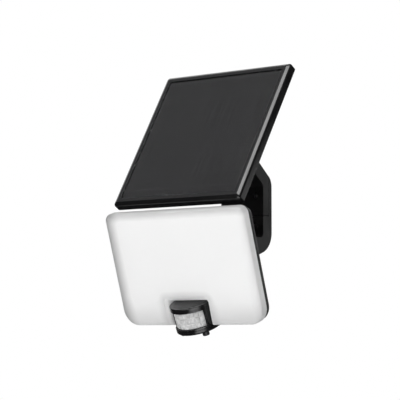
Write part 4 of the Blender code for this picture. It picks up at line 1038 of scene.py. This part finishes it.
def make_housing():
    front = DIFFUSER_SKIRT_DEPTH + GAP
    back = HOUSING_BACK_DEPTH
    housing = loft("housing_fine", housing_rings(0.0, front, back), LAMP)
    carve(housing, loft("cavity", housing_rings(HOUSING_WALL, front - 0.01, back - HOUSING_WALL), LAMP))
    half = BASE_HALF_WIDTH + GAP
    carve(housing, block("notch", (-half, 0.0, NOTCH_FOOT), (half, BASE_BACK + GAP, BASE_TOP + GAP), LAMP))
    inner, outer = 0.034, 0.0635
    half = 0.0009
    for z in (-0.0108, -0.0012, 0.0084, 0.018):
        for near, far in ((-outer, -inner), (inner, outer)):
            low = (near, back - HOUSING_GROOVE_DEPTH, z - half)
            carve(housing, block("groove", low, (far, back + PAST, z + half), LAMP))
    pivot = (-LAMP_OFFSET.y, -LAMP_OFFSET.z)
    add_lugs(housing, LAMP, pivot, back - LAMP_LUG_DEPTH, radius=0.010, half_height=0.013)
    drill(housing, BUTTON_HOLE_RADIUS, LAMP_HOLE_START, BORE_REACH, LAMP, BUTTON_PLACE)
    seat = back - SCREW_HEAD_THICKNESS / 2
    depths = {"tip_depth": 0.016, "hole_start": LAMP_HOLE_START, "hole_end": BORE_REACH}
    back_screws(housing, "lamp", LAMP, LAMP_SCREW_X, LAMP_SCREW_HEIGHTS, seat, **depths)
    round_edges(housing, 0.0004, 2, 40)
    place_piece(housing, "lamp_housing", "lamp")
    gland("lamp", LAMP, GLAND_PLACE, back)


def make_button():
    wall_inner = HOUSING_BACK_DEPTH - HOUSING_WALL
    flange_back = wall_inner - 2 * GAP
    top = HOUSING_BACK_DEPTH + BUTTON_HEIGHT
    profile = [
        (BUTTON_FLANGE_RADIUS, flange_back - BUTTON_FLANGE_THICKNESS),
        (BUTTON_FLANGE_RADIUS, flange_back), (BUTTON_RADIUS, flange_back),
        (BUTTON_RADIUS, top - 0.0010), (0.0050, top - 0.0004), (0.0045, top - 0.0001),
        (0.0040, top), (0.0034, top - 0.0001), (0.0020, top - 0.0004), (0.0008, top - 0.0005),
    ]
    button = turned("mode_button_fine", profile, LAMP, BUTTON_PLACE)
    smooth(button)
    place_piece(button, "mode_button", "mode_button")
    bore = BUTTON_RADIUS + GAP
    skirt = BUTTON_HOLE_RADIUS - GAP
    outside = HOUSING_BACK_DEPTH + GAP
    profile = [
        (bore, wall_inner), (skirt, wall_inner), (skirt, outside), (0.0077, outside),
        (0.0078, outside + 0.0002), (0.0076, outside + 0.0006), (0.0070, outside + 0.0008),
        (0.0062, outside + 0.0008), (0.0057, outside + 0.0006), (bore, outside + 0.0002),
    ]
    seal = turned("button_seal_fine", profile, LAMP, BUTTON_PLACE, closed=True)
    smooth(seal)
    place_piece(seal, "mode_button_seal", "lamp", "rubber")


def make_lamp():
    make_diffuser()
    make_housing()
    make_button()
    hinge_hardware("lamp", LAMP_PIVOT_FRAME, washer_radius=0.009)


# ------------ sensor

def drum_ring(radius, back, height):
    return along_z(half_round(radius, back), height)


def make_sensor_base():
    front = DIFFUSER_SKIRT_DEPTH + GAP
    side = [
        (front, BASE_BOTTOM), (BASE_BACK - BASE_FOOT[0], BASE_BOTTOM),
        (BASE_BACK, BASE_BOTTOM + BASE_FOOT[1]), (BASE_BACK, BASE_TOP), (front, BASE_TOP),
    ]
    base = loft("sensor_base_fine", [along_x(side, x) for x in (-BASE_HALF_WIDTH, BASE_HALF_WIDTH)], LAMP)
    high = (BASE_INNER_HALF_WIDTH, BASE_BACK - BASE_WALL, BASE_TOP - BASE_WALL)
    carve(base, block("room", (-BASE_INNER_HALF_WIDTH, 0.0, NOTCH_FOOT), high, LAMP))
    drill(base, PIN_RADIUS + GAP, -BORE_REACH, BORE_REACH, LAMP, SENSOR_OFFSET, along_x)
    round_edges(base, 0.0006)
    place_piece(base, "sensor_base", "lamp", finish="sensor_plastic")


def make_sensor_shell():
    shoulder = CAP_TOP - 0.0004
    grooved = ((0.0004, 0.0), (0.0, 0.0004), (0.0, 0.0021), (0.0004, 0.0023), (0.0004, 0.0029), (0.0, 0.0031))
    rings = [drum_ring(CAP_RADIUS - inset, DRUM_BACK, CAP_BOTTOM + height) for inset, height in grooved]
    for across, height in arc((CAP_RADIUS - CAP_ROUNDING, shoulder - CAP_ROUNDING), CAP_ROUNDING, 0, 90, 5):
        rings.append(drum_ring(across, DRUM_BACK - (CAP_RADIUS - across) / 4, height))
    plateau = ((0.0042, shoulder), (0.0048, CAP_TOP - 0.0001), (0.0056, CAP_TOP), (0.014, CAP_TOP))
    for inset, height in plateau:
        rings.append(drum_ring(CAP_RADIUS - inset, DRUM_BACK - inset / 3, height))
    shell = loft("sensor_shell_fine", rings, SENSOR)
    walls = [drum_ring(DRUM_RADIUS, DRUM_BACK, height) for height in (LENS_BOTTOM, CAP_BOTTOM + PAST)]
    carve(shell, loft("walls", walls, SENSOR), "UNION")
    inner_back = DRUM_BACK - DRUM_WALL
    heights = (LENS_BOTTOM - PAST, CAP_TOP - SHELL_ROOF)
    room = [drum_ring(DRUM_INNER_RADIUS, inner_back, height) for height in heights]
    carve(shell, loft("hollow", room, SENSOR))
    centre = (0.0, DRUM_CENTRE)
    wedge = [centre] + arc(centre, 2 * DRUM_RADIUS, -90 - WINDOW_HALF_ANGLE, -90 + WINDOW_HALF_ANGLE, 8)
    window = [along_z(wedge, LENS_BOTTOM - PAST), along_z(wedge, CAP_BOTTOM)]
    carve(shell, loft("window", window, SENSOR))
    drill(shell, PIN_RADIUS + GAP, -BORE_REACH, BORE_REACH, SENSOR, along=along_x)
    round_edges(shell, 0.0003, 2, 40)
    place_piece(shell, "sensor_shell", "sensor", finish="sensor_plastic")


def make_lens():
    """Ribbed window: columns of shallow lenses in three rows, with fine grooves between."""
    columns = 9
    column_steps = 12
    row_steps = 8
    count = columns * column_steps
    half = math.radians(WINDOW_HALF_ANGLE - 1)
    angles = [-half + 2 * half * step / count for step in range(count + 1)]
    heights = []
    for low, high in zip(LENS_ROW_EDGES, LENS_ROW_EDGES[1:]):
        for step in range(row_steps):
            heights.append((low + (high - low) * step / row_steps, step / row_steps))
    heights.append((LENS_ROW_EDGES[-1], 1.0))
    rings = []
    for height, share in heights:
        row_bulge = math.sin(math.pi * share) ** LENS_FULLNESS
        ring = []
        for step, angle in enumerate(angles):
            column_bulge = math.sin(math.pi * (step % column_steps) / column_steps) ** LENS_FULLNESS
            radius = LENS_RADIUS - LENS_BULGE + LENS_BULGE * min(row_bulge, column_bulge)
            ring.append((radius * math.sin(angle), DRUM_CENTRE - radius * math.cos(angle), height))
        radius = LENS_RADIUS - LENS_WALL
        for angle in reversed(angles):
            ring.append((radius * math.sin(angle), DRUM_CENTRE - radius * math.cos(angle), height))
        rings.append(ring)
    lens = loft("fresnel_lens_fine", rings, SENSOR)
    smooth(lens, 50)
    place_piece(lens, "fresnel_lens", "sensor", "window_plastic")


def make_sensor_ring():
    top = LENS_BOTTOM - GAP
    rings = [drum_ring(DRUM_INNER_RADIUS, DRUM_BACK - DRUM_WALL, z) for z in (RING_BOTTOM + DRUM_WALL, top)]
    grooved = ((0.0003, 0.0), (0.0, 0.0003), (0.0, 0.0014), (0.0004, 0.0017), (0.0004, 0.0021), (0.0, 0.0024))
    rings += [drum_ring(DRUM_RADIUS - inset, DRUM_BACK, top - drop) for inset, drop in grooved]
    centre = (DRUM_RADIUS - RING_ROUNDING, RING_BOTTOM + RING_ROUNDING)
    rounding = arc(centre, RING_ROUNDING, 0, -90, 8)
    rings += [drum_ring(across, DRUM_BACK, height) for across, height in rounding]
    ring = loft("sensor_ring_fine", rings, SENSOR)
    for x in (-DIAL_X, DIAL_X):
        drill(ring, DIAL_SHAFT_RADIUS + GAP, -BORE_REACH, 0.0, SENSOR, (x, DIAL_DEPTH, 0.0), along_z)
    smooth(ring)
    place_piece(ring, "sensor_ring", "sensor", finish="sensor_plastic")


def make_dial(node, x):
    top = RING_BOTTOM - GAP
    bottom = top - DIAL_HEIGHT
    grip = wavy_circle(DIAL_RADIUS, depth=0.0002, count=16)
    profile = [
        (DIAL_SHAFT_RADIUS, RING_BOTTOM + DRUM_WALL + PAST), (DIAL_SHAFT_RADIUS, top),
        (DIAL_RADIUS - DIAL_EDGE, top), (grip, top - DIAL_CHAMFER), (grip, bottom + DIAL_CHAMFER),
        (DIAL_RADIUS - DIAL_EDGE, bottom),
    ]
    dial = turned(f"{node}_fine", profile, SENSOR, (x, DIAL_DEPTH, 0.0), along_z)
    half = 0.0005
    reach = DIAL_RADIUS * 0.7
    low = (x - half, DIAL_DEPTH - reach, bottom - PAST)
    carve(dial, block("slot", low, (x + half, DIAL_DEPTH + reach, bottom + DIAL_SLOT_DEPTH), SENSOR))
    smooth(dial, 28)
    place_piece(dial, node, node)


def make_sensor():
    make_sensor_base()
    make_sensor_shell()
    make_lens()
    make_sensor_ring()
    make_dial("time_dial", DIAL_X)
    make_dial("light_dial", -DIAL_X)


# ------------ studio

def make_floor():
    """Large round pale floor, below the lamp, with a little glow of its own that only the camera sees."""
    angles = [math.tau * side / 96 for side in range(96)]
    outline = [(FLOOR_RADIUS * math.cos(angle), FLOOR_RADIUS * math.sin(angle)) for angle in angles]
    floor = loft("floor", [along_z(outline, FLOOR_HEIGHT), along_z(outline, FLOOR_HEIGHT - 0.01)])
    material, tree, shader = new_material("floor_paint", (0.93, 0.93, 0.93), 0.7)
    add_bump(shader, noise(tree, 8.0, 2.0), 0.001, 0.03)
    path = tree.nodes.new("ShaderNodeLightPath")
    add_glow(shader, calculate(tree, "MULTIPLY", path.outputs["Is Camera Ray"], FLOOR_GLOW))
    floor.data.materials.append(material)
    floor.visible_glossy = False


def make_world():
    """White to the camera; to the object dim at the horizon, bright overhead, a soft card low in front."""
    world = bpy.data.worlds.new("studio")
    bpy.context.scene.world = world
    world.use_nodes = True
    tree = world.node_tree
    background = tree.nodes["Background"]
    view = tree.nodes.new("ShaderNodeTexCoord").outputs["Generated"]
    height = smooth_step(tree, split(tree, view)[2], HORIZON_LIGHT, OVERHEAD_LIGHT, *OVERHEAD_RISE)
    towards = tree.nodes.new("ShaderNodeVectorMath")
    towards.operation = "DOT_PRODUCT"
    towards.inputs[1].default_value = Vector(LOW_CARD_DIRECTION).normalized()
    tree.links.new(view, towards.inputs[0])
    ends = [math.cos(math.radians(angle)) for angle in LOW_CARD_ANGLES]
    card = smooth_step(tree, towards.outputs["Value"], 0.0, LOW_CARD_LIGHT, *ends)
    path = tree.nodes.new("ShaderNodeLightPath")
    lit = calculate(tree, "ADD", height, card)
    strength = calculate(tree, "MAXIMUM", path.outputs["Is Camera Ray"], lit)
    feed(background, "Strength", strength)
    set_inputs(background, Color=(*WHITE, 1.0))


def area_light(name, place, width, height, power):
    data = bpy.data.lights.new(name, "AREA")
    data.shape = "RECTANGLE"
    data.size = width
    data.size_y = height
    data.energy = power
    light = bpy.data.objects.new(name, data)
    light.location = place
    aim = Vector((0.0, -0.09, 0.02))
    light.rotation_euler = (aim - Vector(place)).to_track_quat("-Z", "Y").to_euler()
    light.visible_camera = False
    bpy.context.scene.collection.objects.link(light)


def make_lights():
    area_light("overhead_front", (0.42, -1.2, 1.98), 1.2, 1.1, 30.0)
    area_light("front_fill", (0.0, -2.2, -0.3), 1.6, 1.2, 31.5)
    area_light("rear_card", (1.6, 1.9, 0.0), 1.6, 0.6, 2.8)
    area_light("back_fill", (-0.4, 2.3, 0.5), 1.8, 1.4, 12.0)
    area_light("rear_fill", (-1.75, 0.98, 1.1), 1.7, 1.3, 7.0)


def make_camera():
    data = bpy.data.cameras.new("camera")
    data.sensor_width = 36.0
    data.lens = 159.7
    data.clip_start = 0.05
    data.clip_end = 50.0
    camera = bpy.data.objects.new("camera", data)
    camera.location = (1.27105, -1.62478, -0.13905)
    camera.rotation_euler = (math.radians(94.42), 0.0, math.radians(39.67))
    bpy.context.scene.collection.objects.link(camera)
    bpy.context.scene.camera = camera


make_camera()
finish_carried_nodes()
make_bracket()
make_panel()
make_lamp()
make_sensor()
make_floor()
make_world()
make_lights()
bpy.context.scene.view_settings.view_transform = "Standard"
